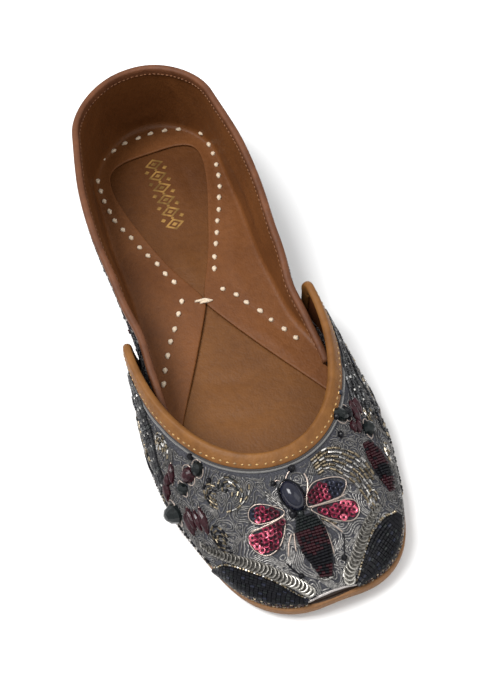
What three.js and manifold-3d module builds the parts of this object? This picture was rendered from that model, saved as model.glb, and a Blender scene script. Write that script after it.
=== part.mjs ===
// A mojari: a flat leather slip-on whose decorated vamp laps over a leather-lined quarter.
// Millimetres. +X points to the toe, +Y to the wearer's left and +Z up. The origin is on the floor,
// under the middle of the outsole. It is a right shoe: heel and toe curve slightly to the wearer's left.
import * as THREE from "three";
import { mergeVertices } from "three/addons/utils/BufferGeometryUtils.js";
import Module from "manifold-3d";

const wasm = await Module();
wasm.setup();

// Driving dimensions.
const LENGTH = 248;
const SOLE_THICK = 4.4;
const GAP = 0.3;             // between pieces that are sewn or glued together
const VAMP_WALL = 1.7;       // cover and lining together
const QUARTER_WALL = 1.7;
const LAP = 1.1;             // the quarter's front ends lie this far inside the vamp's face
const INSOLE_THICK = 1.4;
const FLANGE_THICK = 0.9;    // the lining turned in and sewn down on the insole
const BINDING_THICK = 0.8;
const CURVE = { ends: 4.2, level: 0.181 };  // the last's sideways curve: its rise at the ends, and the share taken off

// The outsole at its stations. at: share of the length from the heel; half: half width before the
// heel and toe are rounded off; lift: height of the underside, for the arch and the toe spring;
// welt: how far it stands out past the upper's foot.
const SOLE = [
  { at: 0.00, half: 27.6, lift: 0.0, welt: 0.8 },
  { at: 0.14, half: 31.4, lift: 0.0, welt: 0.7 },
  { at: 0.26, half: 31.6, lift: 0.0, welt: 0.5 },
  { at: 0.40, half: 30.4, lift: 1.5, welt: 0.4 },
  { at: 0.52, half: 33.2, lift: 0.7, welt: 0.3 },
  { at: 0.60, half: 38.6, lift: 0.0, welt: 0.3 },
  { at: 0.67, half: 42.0, lift: 0.0, welt: 0.3 },
  { at: 0.72, half: 42.9, lift: 0.0, welt: 0.3 },
  { at: 0.78, half: 42.2, lift: 0.0, welt: 0.3 },
  { at: 0.86, half: 38.0, lift: 0.6, welt: 0.4 },
  { at: 0.94, half: 32.2, lift: 2.6, welt: 1.0 },
  { at: 1.00, half: 27.0, lift: 4.4, welt: 1.9 },
];
const HEEL_ROUND = { centre: 0.14, power: 2.15 };
const TOE_ROUND = { centre: 0.885, power: 3.2 };
const NOSE = { lift: 1.8, halfWidth: 9, length: 14 };  // the small turned-up tip of the sole
const SPINE = { heel: -92, toe: 96 };                  // ends of the line the sole's rows meet on

// The quarter's top line. high: height above the floor; out: how far it stands out past its foot.
const COLLAR = [
  { at: 0.00, high: 45.2, out: -3.6 },
  { at: 0.14, high: 46.6, out: 0.0 },
  { at: 0.26, high: 45.0, out: 3.6 },
  { at: 0.36, high: 41.5, out: 4.8 },
  { at: 0.46, high: 36.8, out: 2.4 },
  { at: 0.55, high: 31.4, out: -3.6 },
  { at: 0.60, high: 28.4, out: -6.6 },
  { at: 0.67, high: 23.0, out: -9.6 },
];
const QUARTER_FRONT = 41;    // x of the quarter's front ends, inside the vamp
const QUARTER_FOOT = { rise: 12, lean: 1.8, drop: 90, reach: 0.3 };

// The vamp's edge: a deep oval throat between two ears.
const THROAT = { front: 76, halfWidth: 37.5, power: 2.05, frontHigh: 33.5 };
const EAR = { x: 15, rearX: 9, high: 33.5, rearHigh: 28.5, tuck: 0.8 };

// How the vamp's wall rises, from the toe (at 0) to the ear (at 1). rise and lean shape its foot;
// drop is the slope at which it leaves the throat's edge, in degrees; reach is how long it keeps it.
const VAMP = [
  { at: 0.00, rise: 7.0, lean: 0.2, drop: 24, reach: 0.48 },
  { at: 0.30, rise: 9.5, lean: 1.8, drop: 40, reach: 0.44 },
  { at: 0.65, rise: 11.0, lean: 2.8, drop: 66, reach: 0.36 },
  { at: 1.00, rise: 11.0, lean: 2.2, drop: 88, reach: 0.33 },
];

// The lining's flange: the inner edge of its left half, from the back of the heel along the window
// in the footbed to the tack, then out to its front end. edge: share of the way along the wall.
const FLANGE = [
  { x: -105.5, y: 0.0, edge: 0.000 },
  { x: -105.0, y: 12.5, edge: 0.075 },
  { x: -101.0, y: 19.6, edge: 0.125 },
  { x: -92.0, y: 21.6, edge: 0.185 },
  { x: -76.0, y: 19.4, edge: 0.275 },
  { x: -50.6, y: 12.6, edge: 0.410 },
  { x: -35.0, y: 7.4, edge: 0.500 },
  { x: -20.5, y: 1.6, edge: 0.580 },
  { x: -14.4, y: 0.2, edge: 0.620 },
  { x: -9.0, y: 1.6, edge: 0.655 },
  { x: 11.7, y: 12.3, edge: 0.780 },
  { x: 33.0, y: 24.2, edge: 0.910 },
  { x: 47.0, y: 31.6, edge: 1.000 },
];
const FLANGE_FRONT = 48;

// Folded bindings: how far they reach down the outside and the inside of the edge they cover.
const THROAT_BINDING = { outside: 4.4, inside: 4, spacing: 4.2, turn: 1 };
const COLLAR_BINDING = { outside: 3, inside: 3.4, spacing: 5.5, turn: -1 };
const EAR_BINDING_FOOT = 20;  // the ears' bindings stop this high above the floor

const COUNT = { soleRows: 40, vampRibs: 72, vampRise: 9, quarterRibs: 58, quarterRise: 6 };

const clamp = THREE.MathUtils.clamp;
const LEVEL = new THREE.Vector3(1, 1, 0);
const UP = new THREE.Vector3(0, 0, 1);

// Smooth value of one column of a table at a station, with no overshoot between its rows.
function column(table, name, at) {
  const last = table.length - 1;
  const x = clamp(at, table[0].at, table[last].at);
  const slope = (i) => (table[i + 1][name] - table[i][name]) / (table[i + 1].at - table[i].at);
  const tangent = (i) => {
    if (i === 0 || i === last) return slope(Math.min(i, last - 1));
    const [a, b] = [slope(i - 1), slope(i)];
    return a * b <= 0 ? 0 : (2 * a * b) / (a + b);
  };
  let i = 0;
  while (i < last - 1 && x > table[i + 1].at) i++;
  const width = table[i + 1].at - table[i].at;
  const t = (x - table[i].at) / width;
  return (1 + 2 * t) * (1 - t) ** 2 * table[i][name] + t * (1 - t) ** 2 * width * tangent(i)
    + t * t * (3 - 2 * t) * table[i + 1][name] - t * t * (1 - t) * width * tangent(i + 1);
}

const station = (x) => x / LENGTH + 0.5;

function halfWidth(x) {
  const heel = clamp(1 - station(x) / HEEL_ROUND.centre, 0, 1);
  const toe = clamp((station(x) - TOE_ROUND.centre) / (1 - TOE_ROUND.centre), 0, 1);
  return column(SOLE, "half", station(x)) * (1 - heel ** HEEL_ROUND.power) ** (1 / HEEL_ROUND.power)
    * (1 - toe ** TOE_ROUND.power) ** (1 / TOE_ROUND.power);
}

// Height of the sole's underside: the arch, the toe spring and the turned-up nose.
function lift(x, y) {
  const along = clamp((x - LENGTH / 2 + NOSE.length) / NOSE.length, 0, 1);
  return column(SOLE, "lift", station(x)) + NOSE.lift * along * along * Math.exp(-((y / NOSE.halfWidth) ** 2));
}

// A point a distance above the sole's top face.
const onSole = (p, above) => new THREE.Vector3(p.x, p.y, SOLE_THICK + lift(p.x, p.y) + above);

// The left half of the outsole's outline between two values of x, as points evenly spaced along it,
// each with its outward direction.
function outline(count, from = -LENGTH / 2, to = LENGTH / 2) {
  const steps = 1500;
  const mid = (from + to) / 2;
  const dense = Array.from({ length: steps + 1 }, (_, i) => {
    const x = mid - (Math.cos((Math.PI * i) / steps) * (to - from)) / 2;
    return new THREE.Vector3(x, Math.max(halfWidth(x), 0), 0);
  });
  const run = [0];
  for (let i = 1; i <= steps; i++) run.push(run[i - 1] + dense[i].distanceTo(dense[i - 1]));
  return Array.from({ length: count + 1 }, (_, k) => {
    const goal = (run[steps] * k) / count;
    let i = 1;
    while (i < steps && run[i] < goal) i++;
    const along = dense[i].clone().sub(dense[i - 1]).normalize();
    const p = dense[i - 1].clone().lerp(dense[i], (goal - run[i - 1]) / (run[i] - run[i - 1]));
    const onAxis = p.y < 0.01;
    return { p, out: onAxis ? new THREE.Vector3(Math.sign(p.x), 0, 0) : new THREE.Vector3(-along.y, along.x, 0) };
  });
}

const welt = (x) => column(SOLE, "welt", station(x));
const setIn = ({ p, out }, distance) => p.clone().addScaledVector(out, -distance);
const flip = (p) => new THREE.Vector3(p.x, -p.y, p.z);

// A list of left-hand items that starts on the centreline, with its mirror image put before it.
const bothSides = (half, mirror) => [...half.slice(1).map(mirror).reverse(), ...half];

// How far the quarter's face is drawn in where the vamp laps over it.
const lap = (x) => LAP * THREE.MathUtils.smoothstep(x, EAR.rearX - 24, EAR.rearX - 4);

// A rib of the upper's wall: a cubic from its foot on the sole to its top edge.
function rib(foot, top, out, { rise, lean, drop, reach }) {
  const angle = THREE.MathUtils.degToRad(drop);
  const outward = foot.clone().sub(top).multiply(LEVEL).normalize().lerp(out, drop / 90).normalize();
  const length = reach * top.distanceTo(foot);
  return new THREE.CubicBezierCurve3(
    foot,
    foot.clone().addScaledVector(UP, rise).addScaledVector(out, lean),
    top.clone().addScaledVector(outward, Math.cos(angle) * length).addScaledVector(UP, -Math.sin(angle) * length),
    top);
}

const mirrorRib = (r) => new THREE.CubicBezierCurve3(flip(r.v0), flip(r.v1), flip(r.v2), flip(r.v3));

// The throat's edge on the left, from its front, round the ear's corner and down the ear's rear edge.
function throatEdge(count) {
  const steps = 200;
  const oval = Array.from({ length: steps + 1 }, (_, i) => {
    const a = (Math.PI / 2) * (i / steps);
    return new THREE.Vector3(
      EAR.x + (THROAT.front - EAR.x) * Math.cos(a) ** (2 / THROAT.power),
      THROAT.halfWidth * Math.sin(a) ** (2 / THROAT.power),
      THREE.MathUtils.lerp(THROAT.frontHigh, EAR.high, Math.sin(a) ** 2));
  });
  const top = oval[steps];
  const rear = new THREE.Vector3(EAR.rearX, top.y - EAR.tuck, EAR.rearHigh);
  const turn = new THREE.QuadraticBezierCurve3(top, new THREE.Vector3(EAR.rearX + 2, top.y, EAR.high), rear);
  return new THREE.CatmullRomCurve3([...oval, ...turn.getPoints(60).slice(1)]).getSpacedPoints(count);
}

// The vamp's ribs, from the left ear round the toe to the right ear.
function vampRibs() {
  const half = COUNT.vampRibs / 2;
  const tops = throatEdge(half);
  const left = outline(half, EAR.rearX).reverse().map((edge, i) => {
    const shape = Object.fromEntries(["rise", "lean", "drop", "reach"].map((k) => [k, column(VAMP, k, i / half)]));
    return rib(onSole(setIn(edge, welt(edge.p.x)), GAP), tops[i], edge.out, shape);
  });
  return bothSides(left, mirrorRib).reverse();
}

// The quarter's ribs, from the right front end round the heel to the left front end.
function quarterRibs() {
  const left = outline(COUNT.quarterRibs / 2, -LENGTH / 2, QUARTER_FRONT).map((edge) => {
    const at = station(edge.p.x);
    const foot = setIn(edge, welt(edge.p.x) + lap(edge.p.x));
    const top = setIn(edge, welt(edge.p.x) - column(COLLAR, "out", at)).setZ(column(COLLAR, "high", at));
    return rib(onSole(foot, GAP), top, edge.out, QUARTER_FOOT);
  });
  return bothSides(left, mirrorRib);
}

// Points up each rib with the outward normal at each, [rib][step].
function surface(ribs, steps) {
  const points = ribs.map((r) => Array.from({ length: steps + 1 }, (_, j) => r.getPoint(j / steps)));
  const normals = points.map((row, i) => row.map((_, j) => {
    const along = points[Math.min(i + 1, ribs.length - 1)][j].clone().sub(points[Math.max(i - 1, 0)][j]);
    const up = row[Math.min(j + 1, steps)].clone().sub(row[Math.max(j - 1, 0)]);
    return up.cross(along).normalize();
  }));
  return { points, normals };
}

// The closed solid between two matching grids of points, [row][column]. The first and last rows are
// closed too, unless they already meet on the centreline.
function between(outer, inner, openEnds = true) {
  const [rows, columns] = [outer.length, outer[0].length];
  const vertices = [...outer.flat(), ...inner.flat()];
  const id = (side, i, j) => side * rows * columns + i * columns + j;
  const faces = [];
  const quad = (a, b, c, d) => faces.push([a, b, c], [a, c, d]);
  for (let i = 0; i < rows - 1; i++) {
    for (let j = 0; j < columns - 1; j++) {
      quad(id(0, i, j), id(0, i + 1, j), id(0, i + 1, j + 1), id(0, i, j + 1));
      quad(id(1, i, j), id(1, i, j + 1), id(1, i + 1, j + 1), id(1, i + 1, j));
    }
    quad(id(0, i, 0), id(1, i, 0), id(1, i + 1, 0), id(0, i + 1, 0));
    quad(id(0, i, columns - 1), id(0, i + 1, columns - 1), id(1, i + 1, columns - 1), id(1, i, columns - 1));
  }
  for (let j = 0; openEnds && j < columns - 1; j++) {
    quad(id(0, 0, j), id(0, 0, j + 1), id(1, 0, j + 1), id(1, 0, j));
    quad(id(0, rows - 1, j), id(1, rows - 1, j), id(1, rows - 1, j + 1), id(0, rows - 1, j + 1));
  }
  return solid(vertices, faces);
}

// A geometry from vertices and triangles, welded, without empty triangles and facing outward.
function solid(vertices, faces) {
  const geometry = new THREE.BufferGeometry();
  geometry.setAttribute("position", new THREE.Float32BufferAttribute(vertices.flatMap((v) => v.toArray()), 3));
  geometry.setIndex(faces.flat());
  const welded = mergeVertices(geometry, 1e-3);
  const index = welded.index.array;
  const corner = (i) => new THREE.Vector3().fromBufferAttribute(welded.attributes.position, i);
  const kept = [];
  let volume = 0;
  for (let i = 0; i < index.length; i += 3) {
    const [a, b, c] = index.slice(i, i + 3);
    if (a === b || b === c || c === a) continue;
    kept.push([a, b, c]);
    volume += corner(a).dot(corner(b).cross(corner(c)));
  }
  welded.setIndex(kept.flatMap(([a, b, c]) => (volume > 0 ? [a, b, c] : [a, c, b])));
  return welded;
}

function wall({ points, normals }, thickness) {
  const inner = points.map((row, i) => row.map((p, j) => {
    const moved = p.clone().addScaledVector(normals[i][j], -thickness);
    return j === 0 ? moved.setZ(p.z) : moved;  // the foot stands level on the sole
  }));
  return between(points, inner);
}

function union(a, b) {
  const [first, second] = [a, b].map((geometry) => new wasm.Manifold(new wasm.Mesh({
    numProp: 3,
    vertProperties: geometry.attributes.position.array,
    triVerts: new Uint32Array(geometry.index.array),
  })));
  const mesh = first.add(second).getMesh();
  const geometry = new THREE.BufferGeometry();
  geometry.setAttribute("position", new THREE.Float32BufferAttribute(mesh.vertProperties, 3));
  geometry.setIndex([...mesh.triVerts]);
  return geometry;
}

// The edge of a wall that a binding follows, from the back or front of the shoe to its left end: the
// ribs' tops and, where the last rib is an edge too, that rib down to a height. Points with normals.
function boundEdge({ points, normals }, middle, last, down = Infinity) {
  const edge = [];
  for (let i = middle; i !== last + Math.sign(last - middle); i += Math.sign(last - middle)) {
    edge.push({ p: points[i].at(-1), out: normals[i].at(-1) });
  }
  for (let j = points[last].length - 2; j >= 0 && points[last][j].z > down; j--) {
    edge.push({ p: points[last][j], out: normals[last][j] });
  }
  return edge;
}

// A strip folded over a wall's edge, clear of it by the gap all round. Its two legs lie on the
// wall's faces: each of their points is dropped onto the face along the wall's normal.
function binding(wallGeometry, edge, thickness, { outside, inside, spacing, turn }) {
  const face = new THREE.Mesh(wallGeometry, new THREE.MeshBasicMaterial({ side: THREE.DoubleSide }));
  const line = new THREE.CatmullRomCurve3(edge.map(({ p }) => p));
  const facing = new THREE.CatmullRomCurve3(edge.map(({ out }) => out));
  const count = Math.round(line.getLength() / spacing);
  line.arcLengthDivisions = 2000;
  const left = Array.from({ length: count + 1 }, (_, i) => {
    const t = line.getUtoTmapping(i / count);
    const p = line.getPoint(t);
    const out = facing.getPoint(t).normalize();
    const into = line.getTangent(t).cross(out).normalize().multiplyScalar(turn);
    if (i === 0) for (const v of [p, out, into]) v.y = 0;
    const onFace = (down, side, clear) => {
      const start = p.clone().addScaledVector(into, down).addScaledVector(out, side > 0 ? 4 : -4 - thickness);
      const way = out.clone().multiplyScalar(-side);
      const hit = new THREE.Raycaster(start, way, 0, 8).intersectObject(face)[0];
      const foot = hit ? hit.point : start.addScaledVector(way, 4);
      return foot.clone().addScaledVector(out, side * clear);
    };
    const overEdge = (off, above) => p.clone().addScaledVector(out, off).addScaledVector(into, -above - GAP);
    const path = (clear, round) => [
      onFace(outside, 1, clear), onFace(outside / 2, 1, clear), onFace(0.4, 1, clear),
      overEdge(clear - round, clear), overEdge(round - clear - thickness, clear),
      onFace(0.4, -1, clear), onFace(inside / 2, -1, clear), onFace(inside, -1, clear),
    ];
    return { outer: path(GAP + BINDING_THICK, 0.7), inner: path(GAP, 0.15) };
  });
  const grid = (name) => bothSides(left.map((s) => s[name]), (row) => row.map(flip));
  return between(grid("outer"), grid("inner"));
}

// Rows across the shoe on a smooth bottom, from heel to toe. Each entry of across is a point of the
// left half of a row: inset from the outline, share of the way left to the spine, and height.
function rows(across, up) {
  return outline(COUNT.soleRows).map((edge) => {
    const spine = new THREE.Vector3(clamp(edge.p.x, SPINE.heel, SPINE.toe), 0, 0);
    const left = across.map(({ inset, share = 1, above = 0 }) => {
      const p = setIn(edge, inset(edge.p.x));
      if (p.y < 0) p.y = 0;
      return onSole(spine.clone().lerp(p, share), up + above);
    });
    return bothSides(left.reverse(), flip);
  });
}

function outsole() {
  const by = (d) => () => d;
  const inner = [0.7, 0.35, 0].map((share) => ({ inset: by(0.8), share }));
  const top = rows([{ inset: by(0), above: -0.8 }, { inset: by(0.6) }, ...inner], 0);
  const under = rows([{ inset: by(0), above: 1 }, { inset: by(0.8) }, ...inner], -SOLE_THICK);
  return between(top, under, false);
}

function insole() {
  const inset = (x) => welt(x) + Math.max(QUARTER_WALL + lap(x), VAMP_WALL) + GAP + 0.1;
  const across = [1, 0.66, 0.33, 0].map((share) => ({ inset, share }));
  return between(rows(across, GAP + INSOLE_THICK), rows(across, GAP), false);
}

function liningFlange() {
  const spread = new THREE.CatmullRomCurve3(FLANGE.map(({ x, y, edge }) => new THREE.Vector3(x, y, edge * 100)), false, "centripetal");
  const wallLine = outline(400, -LENGTH / 2, FLANGE_FRONT);
  const half = spread.getPoints(FLANGE.length * 3 - 3).map(({ x, y, z }) => {
    const edge = wallLine[Math.round(clamp(z / 100, 0, 1) * 400)];
    const outer = setIn(edge, welt(edge.p.x) + QUARTER_WALL + lap(edge.p.x) + GAP + 0.2);
    const inner = new THREE.Vector3(x, Math.max(y, 0), 0);
    return [outer, outer.clone().lerp(inner, 0.5), inner];
  });
  const layer = (above) => bothSides(half.map((row) => row.map((p) => onSole(p, above))), (row) => row.map(flip));
  const base = GAP + INSOLE_THICK + GAP;
  return between(layer(base + FLANGE_THICK), layer(base));
}

// The last's curve, given to every piece alike.
function curve(geometry) {
  const p = geometry.attributes.position;
  for (let i = 0; i < p.count; i++) {
    p.setY(i, p.getY(i) + CURVE.ends * ((p.getX(i) / (LENGTH / 2)) ** 2 - CURVE.level));
  }
}

const group = new THREE.Group();
function add(name, geometry, color, roughness) {
  curve(geometry);
  const mesh = new THREE.Mesh(geometry, new THREE.MeshStandardMaterial({ color, roughness, metalness: 0 }));
  mesh.name = name;
  group.add(mesh);
}

const vamp = surface(vampRibs(), COUNT.vampRise);
const quarter = surface(quarterRibs(), COUNT.quarterRise);
const vampWall = wall(vamp, VAMP_WALL);
const quarterWall = wall(quarter, QUARTER_WALL);
add("outsole", outsole(), 0xa8794c, 0.75);
add("insole", insole(), 0x9a6433, 0.6);
add("lining_flange", liningFlange(), 0x8d5426, 0.6);
add("upper", union(vampWall, quarterWall), 0x6d6f78, 0.7);
add("throat_binding", binding(vampWall, boundEdge(vamp, COUNT.vampRibs / 2, 0, EAR_BINDING_FOOT), VAMP_WALL, THROAT_BINDING), 0xa96f3a, 0.6);
add("collar_binding", binding(quarterWall, boundEdge(quarter, COUNT.quarterRibs / 2, COUNT.quarterRibs), QUARTER_WALL, COLLAR_BINDING), 0x7d4526, 0.6);
export default group;
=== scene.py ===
import math

import bmesh
import bpy
import numpy as np
from mathutils import Matrix, Vector
from mathutils.bvhtree import BVHTree


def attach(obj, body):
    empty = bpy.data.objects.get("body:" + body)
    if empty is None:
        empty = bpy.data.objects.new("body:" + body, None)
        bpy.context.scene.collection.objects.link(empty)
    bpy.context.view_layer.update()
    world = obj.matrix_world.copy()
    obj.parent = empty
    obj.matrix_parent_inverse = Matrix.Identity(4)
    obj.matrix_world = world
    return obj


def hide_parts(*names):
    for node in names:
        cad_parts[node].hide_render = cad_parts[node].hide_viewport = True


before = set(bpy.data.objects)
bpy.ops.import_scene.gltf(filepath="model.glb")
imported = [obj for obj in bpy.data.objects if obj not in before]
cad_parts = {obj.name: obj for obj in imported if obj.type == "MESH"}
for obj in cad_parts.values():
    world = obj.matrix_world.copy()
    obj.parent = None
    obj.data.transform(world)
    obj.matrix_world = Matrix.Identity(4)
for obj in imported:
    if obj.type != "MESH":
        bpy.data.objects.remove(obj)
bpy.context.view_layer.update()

MM = 0.001
RNG = np.random.default_rng(11)
AHEAD = np.array([1.0, 0.0, 0.0])
UP = np.array([0.0, 0.0, 1.0])
FLIP = np.array([1.0, -1.0, 1.0])


def table(names, *rows):
    """Columns of numbers by name."""
    return dict(zip(names.split(), np.array(rows, float).T))


# ---------------------------------------------------------------- the shoe's own sizes, as in CAD
LENGTH = 248
SOLE_THICK = 4.4
GAP = 0.3
WALL = 1.7
LAP = 1.1
INSOLE_THICK = 1.4
FLANGE_THICK = 0.9
FLANGE_TOP = GAP + INSOLE_THICK + GAP + FLANGE_THICK  # above the sole's top face
CURVE_ENDS, CURVE_LEVEL = 4.2, 0.181
# "at" is a share of the length from the heel
SOLE = table(
    "at half lift welt",
    (0.00, 27.6, 0.0, 0.8), (0.14, 31.4, 0.0, 0.7), (0.26, 31.6, 0.0, 0.5), (0.40, 30.4, 1.5, 0.4),
    (0.52, 33.2, 0.7, 0.3), (0.60, 38.6, 0.0, 0.3), (0.67, 42.0, 0.0, 0.3), (0.72, 42.9, 0.0, 0.3),
    (0.78, 42.2, 0.0, 0.3), (0.86, 38.0, 0.6, 0.4), (0.94, 32.2, 2.6, 1.0), (1.00, 27.0, 4.4, 1.9),
)
HEEL_CENTRE, HEEL_POWER = 0.14, 2.15
TOE_CENTRE, TOE_POWER = 0.885, 3.2
NOSE_LIFT, NOSE_HALF, NOSE_LENGTH = 1.8, 9, 14
SPINE_HEEL, SPINE_TOE = -92, 96
COLLAR = table(
    "at high out",
    (0.00, 45.2, -3.6), (0.14, 46.6, 0.0), (0.26, 45.0, 3.6), (0.36, 41.5, 4.8),
    (0.46, 36.8, 2.4), (0.55, 31.4, -3.6), (0.60, 28.4, -6.6), (0.67, 23.0, -9.6),
)
QUARTER_FRONT = 41
QUARTER_FOOT = {"rise": 12, "lean": 1.8, "drop": 90, "reach": 0.3}
THROAT_FRONT, THROAT_HALF, THROAT_POWER, THROAT_HIGH = 76, 37.5, 2.05, 33.5
EAR_X, EAR_REAR_X, EAR_HIGH, EAR_REAR_HIGH, EAR_TUCK = 15, 9, 33.5, 28.5, 0.8
# "at" is a share of the way from the ear to the toe's tip
VAMP = table(
    "at rise lean drop reach",
    (0.00, 7.0, 0.2, 24, 0.48), (0.30, 9.5, 1.8, 40, 0.44),
    (0.65, 11.0, 2.8, 66, 0.36), (1.00, 11.0, 2.2, 88, 0.33),
)
# the flange's inner edge; "edge" is a share of the way along the wall's foot
FLANGE = table(
    "x y edge",
    (-105.5, 0.0, 0.000), (-105.0, 12.5, 0.075), (-101.0, 19.6, 0.125), (-92.0, 21.6, 0.185),
    (-76.0, 19.4, 0.275), (-50.6, 12.6, 0.410), (-35.0, 7.4, 0.500), (-20.5, 1.6, 0.580),
    (-14.4, 0.2, 0.620), (-9.0, 1.6, 0.655), (11.7, 12.3, 0.780), (33.0, 24.2, 0.910), (47.0, 31.6, 1.000),
)
# The flange's bend at the wall's foot, and the round of its lip.
FILLET, LIP = 2.6, 0.5


# ---------------------------------------------------------------- lines
def unit(v):
    return v / np.maximum(np.linalg.norm(v, axis=-1, keepdims=True), 1e-9)


def column(rows, name, at):
    """Smooth value of one column at a station, with no overshoot between its rows."""
    xs, ys = rows["at"], rows[name]
    slope = np.diff(ys) / np.diff(xs)
    a, b = slope[:-1], slope[1:]
    middle = np.where(a * b > 0, 2 * a * b / np.where(a * b > 0, a + b, 1), 0)
    tangent = np.concatenate([slope[:1], middle, slope[-1:]])
    x = np.clip(at, xs[0], xs[-1])
    i = np.clip(np.searchsorted(xs, x) - 1, 0, len(xs) - 2)
    width = xs[i + 1] - xs[i]
    t = (x - xs[i]) / width
    return (
        (1 + 2 * t) * (1 - t) ** 2 * ys[i]
        + t * (1 - t) ** 2 * width * tangent[i]
        + t * t * (3 - 2 * t) * ys[i + 1]
        - t * t * (1 - t) * width * tangent[i + 1]
    )


def smoothstep(x, low, high):
    t = np.clip((x - low) / (high - low), 0, 1)
    return t * t * (3 - 2 * t)


def arc(points):
    """Distance along a line of points, at each point."""
    return np.concatenate([[0], np.cumsum(np.linalg.norm(np.diff(points, axis=0), axis=1))])


def read(values, at, goal):
    """Rows of numbers known at some places, read at others."""
    return np.stack([np.interp(goal, at, values[:, k]) for k in range(values.shape[1])], -1)


def along_line(points, goal):
    """Points at given distances along a line of points."""
    return read(points, arc(points), goal)


def through(knots, steps):
    """A smooth line through rows of numbers, from the second to the last but one."""
    knots = np.asarray(knots, float)
    a, b, c, d = (knots[k : len(knots) - 3 + k, None] for k in range(4))
    u = np.linspace(0, 1, steps, endpoint=False)[:, None]
    line = 0.5 * (2 * b + (c - a) * u + (2 * a - 5 * b + 4 * c - d) * u**2 + (3 * b - a - 3 * c + d) * u**3)
    return np.concatenate([line.reshape(-1, knots.shape[1]), knots[-2:-1]])


def polar(radii, angles):
    """Offsets round a point. radii: one number, or one along and one across."""
    long, wide = np.broadcast_to(radii, 2)
    return np.stack([long * np.cos(angles), wide * np.sin(angles)], -1)


def turned(offsets, angle):
    """Offsets in a plane, turned about its middle."""
    c, s = math.cos(angle), math.sin(angle)
    return np.asarray(offsets) @ [[c, s], [-s, c]]


# ---------------------------------------------------------------- the sole and the last
def station(x):
    return np.asarray(x) / LENGTH + 0.5


def half_width(x):
    heel = np.clip(1 - station(x) / HEEL_CENTRE, 0, 1)
    toe = np.clip((station(x) - TOE_CENTRE) / (1 - TOE_CENTRE), 0, 1)
    round_heel = (1 - heel**HEEL_POWER) ** (1 / HEEL_POWER)
    round_toe = (1 - toe**TOE_POWER) ** (1 / TOE_POWER)
    return column(SOLE, "half", station(x)) * round_heel * round_toe


def lift(x, y):
    """Height of the sole's underside: the arch, the toe spring and the turned-up nose."""
    along = np.clip((x - LENGTH / 2 + NOSE_LENGTH) / NOSE_LENGTH, 0, 1)
    nose = NOSE_LIFT * along**2 * np.exp(-((y / NOSE_HALF) ** 2))
    return column(SOLE, "lift", station(x)) + nose


def welt(x):
    return column(SOLE, "welt", station(x))


def lap(x):
    """How far the quarter's front ends are set in under the vamp."""
    return LAP * smoothstep(x, EAR_REAR_X - 24, EAR_REAR_X - 4)


def on_sole(p, above):
    """Points a distance above the sole's top face."""
    return np.stack([p[..., 0], p[..., 1], SOLE_THICK + lift(p[..., 0], p[..., 1]) + above], -1)


def outline(count, start=-LENGTH / 2, end=LENGTH / 2):
    """The left half of the sole's outline, evenly spaced, with its outward directions."""
    sweep = np.cos(np.linspace(0, math.pi, 3001))
    x = (start + end) / 2 - sweep * (end - start) / 2
    dense = np.stack([x, half_width(x), 0 * x], -1)
    goal = np.linspace(0, arc(dense)[-1], count + 1)
    p = along_line(dense, goal)
    along = along_line(dense, np.minimum(goal + 0.2, goal[-1]))
    along = along - along_line(dense, np.maximum(goal - 0.2, 0))
    out = unit(np.stack([-along[:, 1], along[:, 0], 0 * along[:, 0]], -1))
    axis = p[:, 1] < 0.01
    out[axis] = np.sign(p[axis, :1]) * AHEAD
    return p, out


def both_sides(half):
    """A left half that starts on the centreline, with its mirror image before it."""
    return np.concatenate([(half[1:] * FLIP)[::-1], half])


# ---------------------------------------------------------------- the upper's surface
def ribs(foot, top, out, rise, lean, drop, reach):
    """Cubics from the feet on the sole to the top edge, as control points [rib][4][xyz]."""
    rise, lean, drop, reach = (np.asarray(v, float).reshape(-1, 1) for v in (rise, lean, drop, reach))
    angle = np.radians(drop)
    outward = unit((foot - top) * [1, 1, 0])
    outward = unit(outward + (out - outward) * drop / 90)
    length = reach * np.linalg.norm(top - foot, axis=-1, keepdims=True)
    lower = foot + UP * rise + out * lean
    upper = top + outward * np.cos(angle) * length - UP * np.sin(angle) * length
    return np.stack([foot, lower, upper, top], 1)


def throat_edge(count):
    """The vamp's top edge on the left, from the throat's front to the ear's rear corner."""
    a = np.linspace(0, math.pi / 2, 201)
    oval = np.stack([
        EAR_X + (THROAT_FRONT - EAR_X) * np.cos(a) ** (2 / THROAT_POWER),
        THROAT_HALF * np.sin(a) ** (2 / THROAT_POWER),
        THROAT_HIGH + (EAR_HIGH - THROAT_HIGH) * np.sin(a) ** 2,
    ], -1)
    rear = np.array([EAR_REAR_X, THROAT_HALF - EAR_TUCK, EAR_REAR_HIGH])
    bend = np.array([EAR_REAR_X + 2, THROAT_HALF, EAR_HIGH])
    t = np.linspace(0, 1, 61)[1:, None]
    turn = (1 - t) ** 2 * oval[-1] + 2 * t * (1 - t) * bend + t * t * rear
    edge = np.concatenate([oval, turn])
    return along_line(edge, np.linspace(0, arc(edge)[-1], count + 1))


def surface(controls, steps):
    """Points up each rib and the outward normal at each, [rib][step][xyz]."""
    t = np.linspace(0, 1, steps + 1)
    basis = np.stack([(1 - t) ** 3, 3 * t * (1 - t) ** 2, 3 * t * t * (1 - t), t**3])
    points = np.einsum("ks,rkx->rsx", basis, controls)
    along = np.gradient(points, axis=0)
    up = np.gradient(points, axis=1)
    return points, unit(np.cross(up, along))


def vamp_surface(half, steps):
    """From the left ear round the toe to the right ear."""
    p, out = (v[::-1] for v in outline(half, EAR_REAR_X))
    share = np.linspace(0, 1, half + 1)
    shape = (column(VAMP, name, share) for name in ("rise", "lean", "drop", "reach"))
    foot = on_sole(p - out * welt(p[:, :1]), GAP)
    left = ribs(foot, throat_edge(half), out, *shape)
    return surface(both_sides(left)[::-1], steps)


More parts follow.
